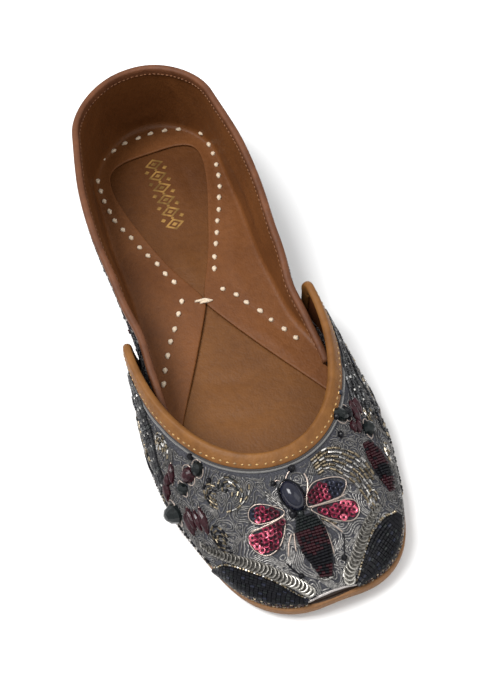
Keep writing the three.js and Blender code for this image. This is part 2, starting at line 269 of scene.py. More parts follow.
def quarter_surface(half, steps):
    """From the right front end round the heel to the left front end."""
    p, out = outline(half, -LENGTH / 2, QUARTER_FRONT)
    x = p[:, :1]
    foot = on_sole(p - out * (welt(x) + lap(x)), GAP)
    top = p - out * (welt(x) - column(COLLAR, "out", station(x)))
    top[:, 2] = column(COLLAR, "high", station(p[:, 0]))
    return surface(both_sides(ribs(foot, top, out, **QUARTER_FOOT)), steps)


class Face:
    """A wall's outer face. s: mm round the foot from the middle, left positive; t: share up the wall."""

    def __init__(self, points, normals):
        run = arc(points[:, 0])
        self.s = run - run[len(points) // 2]
        self.points, self.normals = points, normals
        self.columns = points.shape[1] - 1

    def at(self, s, t, above=0.0):
        """Points and normals at places on the face."""
        s, t = np.broadcast_arrays(np.asarray(s, float), np.asarray(t, float))
        i = np.interp(s, self.s, np.arange(len(self.s)))
        j = np.clip(t, 0, 1) * self.columns
        i0 = np.clip(i.astype(int), 0, len(self.s) - 2)
        j0 = np.clip(j.astype(int), 0, self.columns - 1)
        u, v = (i - i0)[..., None], (j - j0)[..., None]
        blend = []
        for grid in (self.points, self.normals):
            low = grid[i0, j0] * (1 - u) + grid[i0 + 1, j0] * u
            high = grid[i0, j0 + 1] * (1 - u) + grid[i0 + 1, j0 + 1] * u
            blend.append(low * (1 - v) + high * v)
        normal = unit(blend[1])
        return blend[0] + normal * above, normal

    def scale(self, s, t):
        """Millimetres on the face for one unit of s and of t."""
        side = np.linalg.norm(self.at(s + 0.5, t)[0] - self.at(s - 0.5, t)[0])
        rise = np.linalg.norm(self.at(s, t + 0.01)[0] - self.at(s, t - 0.01)[0]) / 0.02
        return side, rise

    def near(self, place, offsets):
        """Places at offsets in mm (to the left, up) from a place."""
        return np.asarray(place, float) + np.asarray(offsets, float) / self.scale(*place)

    def trail(self, places, pitch, above=0.0, closed=False):
        """Points, normals and places at an even pitch on a smooth line through places (s, t)."""
        knots = np.asarray(places, float)
        if closed:
            knots = np.concatenate([knots[-1:], knots, knots[:2]])
        else:
            knots = np.concatenate([2 * knots[:1] - knots[1:2], knots, 2 * knots[-1:] - knots[-2:-1]])
        line = through(knots, 14)
        run = arc(self.at(line[:, 0], line[:, 1])[0])
        spots = read(line, run, np.linspace(0, run[-1], max(int(round(run[-1] / pitch)), 2) + 1))
        return *self.at(spots[:, 0], spots[:, 1], above), spots

    def rim(self, edge, pitch=0.8):
        """Points on a closed smooth line."""
        return self.trail(edge, pitch, closed=True)[0]

    def inside(self, edge, places):
        """Whether places lie within a closed smooth line."""
        a = self.trail(edge, 0.8, closed=True)[2]
        b = np.roll(a, -1, 0)
        s, t = places[:, :1], places[:, 1:2]
        crosses = (a[:, 1] > t) != (b[:, 1] > t)
        rise = np.where(b[:, 1] == a[:, 1], 1, b[:, 1] - a[:, 1])
        at = a[:, 0] + (t - a[:, 1]) * (b[:, 0] - a[:, 0]) / rise
        return (crosses & (s < at)).sum(1) % 2 == 1

    def filling(self, edge, pitch, slant):
        """Places in offset rows within a closed line."""
        reach = np.arange(-22, 23) * pitch
        x, y = np.meshgrid(reach, reach * 0.87)
        x = x + (np.arange(len(reach)) % 2 * pitch / 2)[:, None]
        places = self.near(np.mean(edge, 0), turned(np.stack([x.ravel(), y.ravel()], -1), slant))
        return places[self.inside(edge, places)]


# ---------------------------------------------------------------- meshes
def grid_quads(rows, cols, first=0):
    """The quads of a grid of numbered points."""
    ids = np.arange(rows * cols).reshape(rows, cols) + first
    return ids, np.stack([v.ravel() for v in (ids[:-1, :-1], ids[1:, :-1], ids[1:, 1:], ids[:-1, 1:])], -1)


def between(outer, inner, ends=True):
    """Vertices and quads of the closed solid between two matching grids, [row][column][xyz]."""
    rows, cols = outer.shape[:2]
    first, face = grid_quads(rows, cols)
    second, back = grid_quads(rows, cols, rows * cols)
    quads = [face, back[:, [0, 3, 2, 1]]]
    rims = [(first[:, 0], second[:, 0], 1), (first[:, -1], second[:, -1], 0)]
    if ends:
        rims += [(first[0], second[0], 0), (first[-1], second[-1], 1)]
    for a, b, flip in rims:
        rim = np.stack([a[:-1], a[1:], b[1:], b[:-1]], -1)
        quads.append(rim[:, [0, 3, 2, 1]] if flip else rim)
    return np.concatenate([outer.reshape(-1, 3), inner.reshape(-1, 3)]), np.concatenate(quads)


def curved(p):
    """The last's sideways curve, given to every piece alike."""
    moved = np.array(p, float)
    moved[..., 1] += CURVE_ENDS * ((moved[..., 0] / (LENGTH / 2)) ** 2 - CURVE_LEVEL)
    return moved


def add_object(name, data):
    obj = bpy.data.objects.new(name, data)
    bpy.context.scene.collection.objects.link(obj)
    return obj


def piece(name, verts, faces, material, slot, replaces=(), smooth=True):
    """A mesh object that rides on the shoe. verts in millimetres."""
    mesh = bpy.data.meshes.new(name)
    mesh.from_pydata((curved(verts) * MM).tolist(), [], np.asarray(faces).tolist())
    mesh.validate()
    mesh.materials.append(material)
    mesh.polygons.foreach_set("use_smooth", np.full(len(mesh.polygons), smooth))
    obj = add_object(name, mesh)
    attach(obj, "root")
    if replaces:
        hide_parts(*replaces)
    return obj


def weld(obj, distance=0.01 * MM):
    """Joins coincident vertices and faces the mesh outward."""
    bm = bmesh.new()
    bm.from_mesh(obj.data)
    bmesh.ops.remove_doubles(bm, verts=bm.verts, dist=distance)
    bmesh.ops.dissolve_degenerate(bm, edges=bm.edges, dist=distance)
    bmesh.ops.recalc_face_normals(bm, faces=bm.faces)
    bm.to_mesh(obj.data)
    bm.free()


def tree_of(points):
    """A grid of points as a tree to cast rays at."""
    return BVHTree.FromPolygons(points.reshape(-1, 3).tolist(), grid_quads(*points.shape[:2])[1].tolist())


def cast(tree, start, way, reach=60):
    """Where a ray meets a tree, or None."""
    hit = tree.ray_cast(Vector(start), Vector(way), reach)[0]
    return None if hit is None else np.array(hit)


# ---------------------------------------------------------------- materials
class Look:
    """A material or world in the making: its shader, and short calls for nodes."""

    def __init__(self, owner, shader, inputs):
        owner.use_nodes = True
        self.owner, self.tree = owner, owner.node_tree
        self.shader = self.tree.nodes[shader]
        self.give(self.shader, inputs)

    def give(self, node, inputs):
        """Numbers set on a node's inputs, and other nodes' outputs linked to them."""
        for name, value in inputs.items():
            if isinstance(value, bpy.types.NodeSocket):
                self.tree.links.new(value, node.inputs[name])
            else:
                node.inputs[name].default_value = value

    def finish(self, inputs):
        self.give(self.shader, inputs)
        return self.owner

    def node(self, kind, output, inputs, **settings):
        made = self.tree.nodes.new("ShaderNode" + kind)
        for name, value in settings.items():
            setattr(made, name, value)
        self.give(made, inputs)
        return made.outputs[output]

    def place(self, kind="Object"):
        return self.node("TexCoord", kind, {})

    def noise(self, scale, detail=2):
        return self.node("TexNoise", "Fac", {"Vector": self.place(), "Scale": scale, "Detail": detail})

    def ramp(self, factor, band, dark, light=(1, 1, 1)):
        """A colour that changes as the factor crosses a band."""
        made = self.tree.nodes.new("ShaderNodeValToRGB")
        for stop, position, colour in zip(made.color_ramp.elements, band, (dark, light)):
            stop.position, stop.color = position, (*colour, 1)
        self.give(made, {"Fac": factor})
        return made.outputs["Color"]

    def multiply(self, factor, a, b):
        return self.node("Mix", 2, {0: factor, 6: a, 7: b}, data_type="RGBA", blend_type="MULTIPLY")

    def spread(self, value, low, high):
        return self.node("MapRange", "Result", {"Value": value, "To Min": low, "To Max": high})

    def bump(self, height, strength, distance, under=None):
        inputs = {"Height": height, "Strength": strength, "Distance": distance}
        return self.node("Bump", "Normal", inputs | ({"Normal": under} if under else {}))


SOCKETS = {
    "colour": "Base Color", "roughness": "Roughness", "metallic": "Metallic",
    "specular": "Specular IOR Level", "sheen": "Sheen Weight",
}


def new_look(name, **inputs):
    return Look(bpy.data.materials.new(name), "Principled BSDF", {SOCKETS[k]: v for k, v in inputs.items()})


def leather(name, light, dark, roughness=0.5, grain=1.0, patch=35, heel_shade_and_dirt=False):
    """Leather with slow colour changes, fine grain and pores. heel_shade_and_dirt: darker towards the heel,
    partly painted shade of the heel cup and partly dirt.
    """
    look = new_look(name, specular=0.2)
    pores = look.noise(420, 6)
    colour = look.ramp(look.noise(patch, 5), (0.3, 0.7), dark, light)
    colour = look.multiply(0.35, colour, look.ramp(pores, (0.25, 0.6), (0.55, 0.5, 0.45)))
    # Painted shade of the heel cup, mixed with dirt: the colour darkens towards the heel.
    if heel_shade_and_dirt:
        x = look.node("SeparateXYZ", "X", {0: look.place()})
        heelward = {"Value": x, "From Min": -0.095, "From Max": 0.005, "To Min": 1.0, "To Max": 0.0}
        shade_and_dirt = look.node("MapRange", "Result", heelward, interpolation_type="SMOOTHSTEP")
        colour = look.multiply(shade_and_dirt, colour, (0.68, 0.60, 0.55, 1))
    pits = look.node("TexVoronoi", "Distance", {"Vector": look.place(), "Scale": 1100})
    return look.finish({
        "Base Color": colour,
        "Roughness": look.spread(pores, roughness - 0.08, roughness + 0.12),
        "Normal": look.bump(pores, 0.3 * grain, 0.0006, look.bump(pits, 0.25 * grain, 0.0003)),
    })


def cloth(name, light, dark):
    """Fine woven cloth."""
    look = new_look(name, roughness=0.75, specular=0.25, sheen=0.05)
    weave = look.noise(2600, 3)
    return look.finish({
        "Base Color": look.ramp(weave, (0.38, 0.66), dark, light), "Normal": look.bump(weave, 0.5, 0.0003),
    })


def thread(name, colour, roughness=0.55, metallic=0.0, sheen=0.3, dark=0.6, scale=2500):
    """Spun thread: fine twist in the bump and a colour that drops to a share of itself."""
    look = new_look(name, roughness=roughness, metallic=metallic, sheen=sheen)
    twist = look.noise(scale)
    return look.finish({
        "Base Color": look.ramp(twist, (0.3, 0.65), [c * dark for c in colour], colour),
        "Normal": look.bump(twist, 0.4, 0.0002),
    })


def shiny(name, colour, roughness=0.15, metallic=0.0, spread=0.5, scale=900, specular=0.3):
    """Glass, foil or metal whose tone changes from bead to bead."""
    look = new_look(name, metallic=metallic, specular=specular)
    cells = look.noise(scale)
    return look.finish({
        "Base Color": look.ramp(cells, (0.36, 0.64), [c * (1 - spread) for c in colour], colour),
        "Roughness": look.spread(cells, roughness, roughness + 0.18),
    })


# the insole's colour darkens towards the heel: painted shade of the heel cup and dirt
INSOLE_LEATHER = leather("insole_leather", (0.136, 0.052, 0.0115), (0.098, 0.0355, 0.0075), heel_shade_and_dirt=True)
LINING_LEATHER = leather("lining_leather", (0.150, 0.054, 0.0145), (0.104, 0.0355, 0.0095))
VAMP_LINING = leather("vamp_lining_leather", (0.135, 0.043, 0.015), (0.088, 0.027, 0.010), 0.55)
BINDING_LEATHER = leather("binding_leather", (0.188, 0.079, 0.019), (0.124, 0.049, 0.011), patch=110)
COLLAR_LEATHER = leather("collar_leather", (0.128, 0.047, 0.019), (0.080, 0.028, 0.011), 0.55, patch=110)
SOLE_LEATHER = leather("sole_leather", (0.24, 0.125, 0.056), (0.155, 0.074, 0.030), 0.65, 1.6)
# The toe's front: dark leather, made much darker than the rest as painted shade of the undercut front.
FRONT_LEATHER_AND_SHADE = leather("toe_front_leather_and_shade", (0.035, 0.020, 0.012), (0.018, 0.010, 0.007))
VAMP_CLOTH = cloth("vamp_cloth", (0.058, 0.059, 0.069), (0.016, 0.016, 0.020))
QUARTER_CLOTH = cloth("quarter_cloth", (0.034, 0.033, 0.039), (0.010, 0.010, 0.012))
WHITE_THREAD = thread("white_thread", (0.66, 0.53, 0.38))
GOLD_THREAD = thread("gold_thread", (0.46, 0.27, 0.085), 0.35, 0.4, dark=0.25, scale=700)
BROWN_THREAD = thread("brown_thread", (0.30, 0.115, 0.035))
PIPING_CLOTH = thread("piping_cloth", (0.135, 0.13, 0.125), 0.8)
SEAM_CLOTH = thread("seam_cloth", (0.028, 0.024, 0.024), 0.85)
COUCHED_THREAD = thread("couched_thread", (0.33, 0.315, 0.30), 0.3, 0.6, dark=0.10, scale=1300)
DULL_THREAD = thread("dull_thread", (0.145, 0.136, 0.128), 0.34, 0.6, dark=0.10, scale=1300)
DARK_THREAD = thread("dark_thread", (0.075, 0.07, 0.074), 0.4, 0.5, dark=0.15, scale=1300)
GOLD_FOIL = shiny("gold_foil", (0.36, 0.20, 0.055), 0.36, 0.5, 0.6, 260)

# What the beads, stones, sequins and wires are made of, and whether their shading is smooth.
GLASS = {
    "black_glass": (shiny("black_glass", (0.0055, 0.0055, 0.0075), 0.22, specular=0.17), False),
    "green_glass": (shiny("green_glass", (0.0062, 0.0088, 0.0090), 0.12), False),
    "navy_glass": (shiny("navy_glass", (0.008, 0.009, 0.019), 0.07, spread=0.3, specular=0.4), True),
    "navy_beads": (shiny("navy_beads", (0.012, 0.014, 0.026), 0.12), False),
    "maroon_glass": (shiny("maroon_glass", (0.026, 0.0045, 0.0075), 0.16), False),
    "silver_beads": (shiny("silver_beads", (0.58, 0.56, 0.53), 0.14, 0.95, 0.8), False),
    "smoke_beads": (shiny("smoke_beads", (0.16, 0.13, 0.11), 0.2, 0.8, 0.85), False),
    "gold_beads": (shiny("gold_beads", (0.33, 0.27, 0.185), 0.2, 0.95, 0.85), False),
    # Pale rose sequins: painted highlights, lit copies of the magenta sequins.
    "painted_highlight_sequins": (shiny("painted_highlight_sequins", (0.62, 0.13, 0.19), 0.12, 0.6, 0.4), True),
    "magenta_sequins": (shiny("magenta_sequins", (0.27, 0.026, 0.062), 0.16, 0.5, 0.8), True),
    "maroon_sequins": (shiny("maroon_sequins", (0.075, 0.007, 0.017), 0.2, 0.45, 0.6), True),
    "navy_sequins": (shiny("navy_sequins", (0.015, 0.017, 0.032), 0.2, 0.45, 0.6), True),
    "smoke_sequins": (shiny("smoke_sequins", (0.26, 0.245, 0.22), 0.2, 0.6, 0.6), True),
    "silver_sequins": (shiny("silver_sequins", (0.44, 0.42, 0.38), 0.14, 0.75, 0.45), True),
    "wire": (thread("silver_wire", (0.50, 0.40, 0.34), 0.3, 0.75), True),
    "silver_edge": (thread("silver_edge", (0.50, 0.46, 0.44), 0.35, 0.5), True),
}


# ---------------------------------------------------------------- camera, floor and light
CAMERA_PLACE = (250.0, -37.3, 364.0)
CAMERA_FORWARD, CAMERA_UP = (-0.5570, 0.0995, -0.8245), (-0.7399, 0.3244, 0.5892)
FLOOR_HALF = 3.0


def add_camera():
    data = bpy.data.cameras.new("camera")
    data.sensor_width = 36
    data.lens = 57
    data.clip_start = 0.01
    forward = Vector(CAMERA_FORWARD).normalized()
    right = forward.cross(Vector(CAMERA_UP)).normalized()
    turn = Matrix((right, right.cross(forward), -forward)).transposed()
    camera = add_object("camera", data)
    camera.matrix_world = Matrix.Translation(Vector(CAMERA_PLACE) * MM) @ turn.to_4x4()
    bpy.context.scene.camera = camera


def area_light(name, place, size, power):
    """A square light aimed at the shoe."""
    data = bpy.data.lights.new(name, "AREA")
    data.size, data.energy = size, power
    light = add_object(name, data)
    light.location = place
    light.rotation_euler = (-Vector(place)).to_track_quat("-Z", "Y").to_euler()


def stage_mesh(name, verts, faces, material):
    mesh = bpy.data.meshes.new(name)
    mesh.from_pydata(verts, [], faces)
    mesh.materials.append(material)
    obj = add_object(name, mesh)
    return obj


def add_stage():
    paper = new_look("floor_paper", colour=(0.80, 0.80, 0.80, 1), roughness=0.8).owner
    corners = [(x * FLOOR_HALF, y * FLOOR_HALF) for x, y in ((-1, -1), (1, -1), (1, 1), (-1, 1))]
    stage_mesh("floor", [(x, y, 0) for x, y in corners], [(0, 1, 2, 3)], paper)
    # a pale backdrop round the floor's edge that the camera sees and the light doesn't
    glow = {"Emission Color": (0.75, 0.75, 0.75, 1), "Emission Strength": 1.0}
    pale = new_look("backdrop_paper", colour=(0, 0, 0, 1), specular=0.0).finish(glow)
    verts = [(x, y, z) for z in (0.0, 2 * FLOOR_HALF) for x, y in corners]
    walls = [(k, (k + 1) % 4, (k + 1) % 4 + 4, k + 4) for k in range(4)]
    backdrop = stage_mesh("backdrop", verts, walls, pale)
    for rays in ("diffuse", "glossy", "transmission", "volume_scatter", "shadow"):
        setattr(backdrop, f"visible_{rays}", False)
    studio = Look(bpy.data.worlds.new("studio"), "Background", {"Strength": 0.9})
    height = studio.node("SeparateXYZ", "Z", {0: studio.place("Generated")})
    bpy.context.scene.world = studio.finish({"Color": studio.ramp(height, (0.0, 0.25), (0.16, 0.16, 0.16))})
    area_light("key", (-0.12, -0.50, 1.2), 0.6, 20)
    area_light("fill", (0.6, 0.6, 0.9), 0.9, 3)
    bpy.context.scene.view_settings.view_transform = "Standard"


add_camera()
add_stage()

# ---------------------------------------------------------------- creases
# Creases: width and depth in mm (a ridge is negative), then the line it follows. On a wall
# the line's places are mm round the foot from its middle, left positive, and share up the wall.
VAMP_CREASES = [
    (5.0, -0.77, [(-2.5, 0.10), (-2.6, 0.20), (-2.8, 0.34)]),
    (3.4, 0.65, [(-60, 0.86), (-66, 0.62), (-69, 0.34)]),
    (3.2, 0.61, [(-79, 0.88), (-84, 0.60), (-86, 0.26)]),
    (3.0, 0.51, [(-98, 0.84), (-101, 0.56), (-100, 0.24)]),
    (3.4, 0.61, [(56, 0.88), (62, 0.62), (66, 0.32)]),
    (3.2, 0.61, [(74, 0.88), (80, 0.60), (82, 0.28)]),
    (3.0, 0.51, [(95, 0.84), (98, 0.55), (97, 0.22)]),
    (3.6, 0.37, [(-32, 0.80), (-26, 0.68), (-24, 0.52)]),
    (3.6, 0.37, [(22, 0.84), (20, 0.70), (22, 0.56)]),
]
QUARTER_CREASES = [
    (4.0, 0.58, [(-22, 0.82), (-27, 0.55), (-24, 0.20)]),
    (4.0, 0.54, [(20, 0.84), (26, 0.52), (23, 0.18)]),
    (4.4, 0.58, [(-60, 0.34), (-90, 0.40), (-118, 0.36)]),
    (3.6, 0.58, [(-128, 0.80), (-140, 0.55), (-150, 0.30)]),
    (4.4, 0.58, [(58, 0.36), (88, 0.42), (116, 0.34)]),
    (3.6, 0.58, [(124, 0.82), (138, 0.56), (150, 0.28)]),
    (4.0, 0.48, [(-8, 0.30), (0, 0.26), (9, 0.30)]),
]
# on the flange and the insole the places are x and y
FLANGE_CREASES = [
    (2.2, 0.23, [(-112, 17), (-101, 24), (-88, 25.6), (-70, 22.4), (-48, 14.6), (-26, 7.0)]),
    (2.2, 0.23, [(-112, -17), (-101, -24), (-88, -25.6), (-70, -22.4), (-48, -14.6), (-26, -7.0)]),
    (3.4, -0.34, [(-60, 27), (-44, 22), (-26, 16), (-10, 18)]),
    (3.4, -0.34, [(-56, -27), (-40, -21), (-24, -17), (-8, -19)]),
    (2.2, 0.23, [(-10, 12), (4, 20), (16, 26)]),
    (2.2, 0.23, [(-10, -12), (4, -20), (16, -26)]),
    (2.8, -0.26, [(2, 9), (12, 18), (28, 25)]),
]
INSOLE_CREASES = [
    (4.2, -0.48, [(-46, -2), (-37, -1), (-26, 0)]),
    (3.2, 0.35, [(-98, -11), (-86, -12.5), (-72, -11.5)]),
    (3.0, 0.30, [(-92, 11.5), (-82, 12.5), (-70, 11)]),
    (3.8, 0.42, [(22, -14), (27, 0), (24, 14)]),
    (3.4, 0.38, [(38, -18), (44, -2), (41, 17)]),
    (4.4, 0.32, [(56, -12), (58, 4), (54, 16)]),
]
CREASE_PITCH = 1.2


def creasing(points, creases):
    """How deep the creases run at points: soft troughs with a small swell beside each."""
    depth = np.zeros(points.shape[:-1])
    for wide, deep, line in creases:
        away = np.full(depth.shape, 1e3)
        fade = np.zeros(depth.shape)
        for spot, share in zip(line, np.linspace(0, 1, len(line))):
            gap = np.linalg.norm(points - spot, axis=-1)
            fade = np.where(gap < away, math.sin(math.pi * (0.06 + 0.88 * share)) ** 0.7, fade)
            away = np.minimum(gap, away)
        q = (away / wide) ** 2
        depth += deep * fade * np.exp(-q) * (1 - 0.7 * q)
    return depth


def crease_wall(points, normals, creases):
    """A wall's points with creases pressed in."""
    face = Face(points, normals)
    lines = [(wide, deep, face.trail(line, CREASE_PITCH)[0]) for wide, deep, line in creases]
    return points - normals * creasing(points, lines)[..., None]


def crease_floor(points, creases):
    """How deep the creases run in the flange or the insole, seen from above."""
    lines = []
    for wide, deep, line in creases:
        line = np.array(line, float)
        lines.append((wide, deep, along_line(line, np.arange(0, arc(line)[-1], CREASE_PITCH))))
    return creasing(points[..., :2], lines)


# ---------------------------------------------------------------- sole, insole and upper
def rows_across(profile, up, count=160):
    """Rows of points from heel to toe. profile: inset from the outline, share of the way out, height."""
    p, out = outline(count)
    spine = np.clip(p[:, :1], SPINE_HEEL, SPINE_TOE) * AHEAD
    left = []
    for inset, share, above in profile:
        edge = p - out * (inset(p[:, :1]) if callable(inset) else inset)
        edge[:, 1] = np.maximum(edge[:, 1], 0)
        left.append(on_sole(spine + (edge - spine) * share, up + above))
    left = np.stack(left[::-1], 1)
    return np.concatenate([(left[:, 1:] * FLIP)[:, ::-1], left], 1)


def add_sole():
    inner = [(0.9, share, 0) for share in np.linspace(1, 0, 14)[1:]]
    top = rows_across([(0, 1, -0.9), (0.12, 1, -0.4), (0.45, 1, -0.08), (0.9, 1, 0)] + inner, 0)
    under = rows_across([(0, 1, 1.1), (0.15, 1, 0.45), (0.5, 1, 0.1), (1.1, 1, 0)] + inner, -SOLE_THICK)
    weld(piece("outsole_leather", *between(top, under, False), SOLE_LEATHER, "sole_leather", ["outsole"]))


def add_insole():
    def inset(extra):
        return lambda x: welt(x) + WALL + lap(x) + GAP + 0.1 + extra

    profile = [(inset(0), 1, -0.3), (inset(0.1), 1, -0.1)]
    profile += [(inset(0.4), share, 0) for share in np.linspace(1, 0, 26)]
    top = rows_across(profile, GAP + INSOLE_THICK)
    top[..., 2] -= crease_floor(top, INSOLE_CREASES)
    under = rows_across([(i, share, 0) for i, share, _ in profile], GAP)
    weld(piece("insole_board", *between(top, under, False), INSOLE_LEATHER, "footbed_leather", ["insole"]))


add_sole()
add_insole()
vamp_points, vamp_normals = vamp_surface(150, 44)
quarter_points, quarter_normals = quarter_surface(130, 34)
vamp_points = crease_wall(vamp_points[::-1], vamp_normals[::-1], VAMP_CREASES)[::-1]
quarter_points = crease_wall(quarter_points, quarter_normals, QUARTER_CREASES)
vamp = Face(vamp_points[::-1], vamp_normals[::-1])
quarter = Face(quarter_points, quarter_normals)


def layer(points, normals, near, far):
    """The solid between two depths inside a surface."""
    faces = [points - normals * depth for depth in (near, far)]
    for face in faces:
        face[:, 0, 2] = points[:, 0, 2]
    return between(*faces)


vamp_cloth = layer(vamp_points, vamp_normals, 0, 1.0)
vamp_leather = layer(vamp_points, vamp_normals, 1.02, WALL)
quarter_cloth = layer(quarter_points, quarter_normals, 0, 1.0)
piece("vamp_cover", *vamp_cloth, VAMP_CLOTH, "upper_cloth", ["upper"])
piece("vamp_lining", *vamp_leather, VAMP_LINING, "lining_leather", ["upper"])
piece("quarter_cover", *quarter_cloth, QUARTER_CLOTH, "upper_cloth", ["upper"])


def flange_edge(count):
    """The flange's inner edge on the left, from the back of the heel to its front end."""
    knots = np.stack([FLANGE["x"], FLANGE["y"], FLANGE["edge"]], -1)
    knots = np.concatenate([[knots[1] * [1, -1, -1]], knots, [2 * knots[-1] - knots[-2]]])
    line = through(knots, 100)
    share = np.clip(np.maximum.accumulate(line[:, 2]), 0, 1)
    edge = read(line[:, :2], share, np.linspace(0, 1, count + 1))
    return np.maximum(edge, [-LENGTH, 0.12])


def add_lining(thick=0.85):
    """The quarter's lining: down the wall, round the foot and in over the insole. Returns its top side."""
    half = len(quarter_points) // 2
    wall = (quarter_points - quarter_normals * WALL)[half:]
    base = SOLE_THICK + lift(wall[:, 0, 0], 0) + FLANGE_TOP
    bend_angle = np.linspace(0, math.pi / 2, 7)[1:, None]
    lip_angle = np.linspace(0, math.pi / 2, 4)[:, None]
    grid = []
    for rib, height, inner in zip(wall, base, flange_edge(half)):
        z = np.linspace(rib[-1, 2], height + FILLET, 30)
        down = read(rib, rib[:, 2], z)
        foot, edge = down[-1], np.array([*inner, height])
        way = unit((edge - foot) * [1, 1, 0])
        bend = foot + way * FILLET * (1 - np.cos(bend_angle)) - UP * FILLET * np.sin(bend_angle)
        flat = bend[-1] + (edge - way * LIP - bend[-1]) * np.linspace(0, 1, 22)[1:-1, None]
        flat[:, 2] = height
        lip = edge - way * LIP * (1 - np.sin(lip_angle)) - UP * LIP * (1 - np.cos(lip_angle))
        grid.append(np.concatenate([down, bend, flat, lip]))
    grid = both_sides(np.array(grid))
    normals = unit(np.cross(np.gradient(grid, axis=0), np.gradient(grid, axis=1)))
    if normals[half, 45, 2] < 0:
        normals = -normals
    back = grid - normals * thick
    back[:, -4:] = grid[:, -5:-4] - UP * thick
    back[:, -4:, :2] = grid[:, -4:, :2]
    dents = crease_floor(grid, FLANGE_CREASES) * np.clip(normals[..., 2], 0, 1) ** 2
    dents[:, -5:] = 0
    grid = grid - normals * dents[..., None]
    nodes = ["upper", "lining_flange"]
    weld(piece("quarter_lining", *between(grid, back), LINING_LEATHER, "lining_leather", nodes))
    return tree_of(grid)


lining_tree = add_lining()


# ---------------------------------------------------------------- small closed shapes
def skin(rings, sides):
    """Triangles over rings of points, numbered ring by ring, with a point at each end after them."""
    k = np.arange(sides)
    n = (k + 1) % sides
    faces = []
    for r in range(rings - 1):
        a, b = r * sides, (r + 1) * sides
        faces += [np.stack([a + k, a + n, b + n], -1), np.stack([a + k, b + n, b + k], -1)]
    first, last = rings * sides, rings * sides + 1
    faces.append(np.stack([first + 0 * k, n, k], -1))
    faces.append(np.stack([last + 0 * k, (rings - 1) * sides + k, (rings - 1) * sides + n], -1))
    return np.concatenate(faces)


def lathe(profile, sides):
    """A closed solid of revolution about X from rows (x, radius); the first and last are on the axis."""
    profile = np.asarray(profile, float)
    circle = polar(1, np.arange(sides) * math.tau / sides)
    rings = [np.insert(r * circle, 0, x, axis=1) for x, r in profile[1:-1]]
    ends = [[[profile[0, 0], 0, 0]], [[profile[-1, 0], 0, 0]]]
    return np.concatenate(rings + ends), skin(len(rings), sides)


def upright(template):
    """A template turned on X, stood on Z."""
    verts, faces = template
    return verts[:, [1, 2, 0]], faces


def washer(section, sides):
    """A closed ring about Z from a section of rows (radius, height)."""
    circle = polar(1, np.arange(sides) * math.tau / sides)
    verts = np.concatenate([np.insert(radius * circle, 2, height, axis=1) for radius, height in section])
    k, n = np.arange(sides), (np.arange(sides) + 1) % sides
    faces = []
    for r in range(len(section)):
        a, b = r * sides, (r + 1) % len(section) * sides
        faces += [np.stack([a + k, b + k, b + n], -1), np.stack([a + k, b + n, a + n], -1)]
    return verts, np.concatenate(faces)


def tube(points, radius, sides, normals, flat=1.0):
    """A closed tube along points. flat squashes it along the normals."""
    points = np.asarray(points, float)
    along = unit(np.gradient(points, axis=0))
    side = unit(np.cross(normals, along))
    up = np.cross(along, side)
    circle = polar((1, flat), np.arange(sides) * math.tau / sides)
    ring = side[:, None] * circle[:, :1] + up[:, None] * circle[:, 1:]
    verts = (points[:, None] + ring * radius).reshape(-1, 3)
    return np.concatenate([verts, points[:1], points[-1:]]), skin(len(points), sides)


def thread_stitch(rings=9, sides=8, plies=2):
    """A stitch of length 1 and width 1: two plies of thread, diving in at both ends."""
    angle = np.arange(sides) * math.tau / sides
    verts = []
    for x in np.linspace(-0.5, 0.5, rings):
        swell = math.sqrt(max(1 - (2 * x * 0.97) ** 2, 0.03)) ** 0.6
        r = 0.5 * swell * (1 + 0.16 * np.cos(plies * angle - x * 9))
        verts.append(np.stack([0 * angle + x, r * np.cos(angle), r * np.sin(angle) - 1.2 * x * x], -1))
    ends = [[[-0.5, 0, -0.3]], [[0.5, 0, -0.3]]]
    return np.concatenate(verts + ends), skin(rings, sides)


def petal_stone():
    """A stone with two pointed ends, length and width 1."""
    verts, faces = DROP
    taper = 1 - 0.75 * np.clip(np.abs(2 * verts[:, 0]), 0, 1) ** 1.6
    return verts * np.stack([1 + 0 * taper, taper, 1 + 0 * taper], -1), faces


STITCH = thread_stitch()
BEAD = lathe([(-0.5, 0), (-0.5, 0.26), (-0.26, 0.5), (0.26, 0.5), (0.5, 0.26), (0.5, 0)], 7)
BUGLE = lathe([(-0.5, 0), (-0.5, 0.4), (-0.45, 0.5), (0.45, 0.5), (0.5, 0.4), (0.5, 0)], 6)
DROP = upright(lathe([(-0.1, 0), (-0.1, 0.5), (0.12, 0.5), (0.34, 0.38), (0.47, 0.18), (0.5, 0)], 10))
SMOOTH_DROP = upright(
    lathe([(-0.1, 0), (-0.1, 0.5), (0.1, 0.49), (0.28, 0.42), (0.42, 0.28), (0.49, 0.1), (0.5, 0)], 20)
)
PETAL = petal_stone()
SEQUIN = washer([(0.17, 0.02), (0.34, 0.04), (0.5, 0.12), (0.5, 0.08), (0.34, 0.0), (0.17, -0.02)], 12)
LOZENGE = washer([(0.33, 0.02), (0.5, 0.02), (0.5, -0.02), (0.33, -0.02)], 4)
DOT = upright(lathe([(-0.02, 0), (-0.02, 0.5), (0.02, 0.5), (0.02, 0)], 4))


class Heap:
    """Many small closed meshes of triangles gathered into one piece."""

    def __init__(self):
        self.verts, self.faces, self.count = [], [], 0

    def add(self, verts, faces):
        self.verts.append(verts)
        self.faces.append(faces + self.count)
        self.count += len(verts)

    def place(self, template, centre, along, normal, size):
        """A copy of a template. size: along, across and up."""
        verts, faces = template
        along, normal = np.asarray(along, float), unit(np.asarray(normal, float))
        along = unit(along - normal * (along @ normal))
        size = np.broadcast_to(size, 3)
        axes = np.stack([along * size[0], np.cross(normal, along) * size[1], normal * size[2]])
        self.add(centre + verts @ axes, faces)

    def make(self, name, material, slot, smooth=True):
        piece(name, np.concatenate(self.verts), np.concatenate(self.faces), material, slot, smooth=smooth)


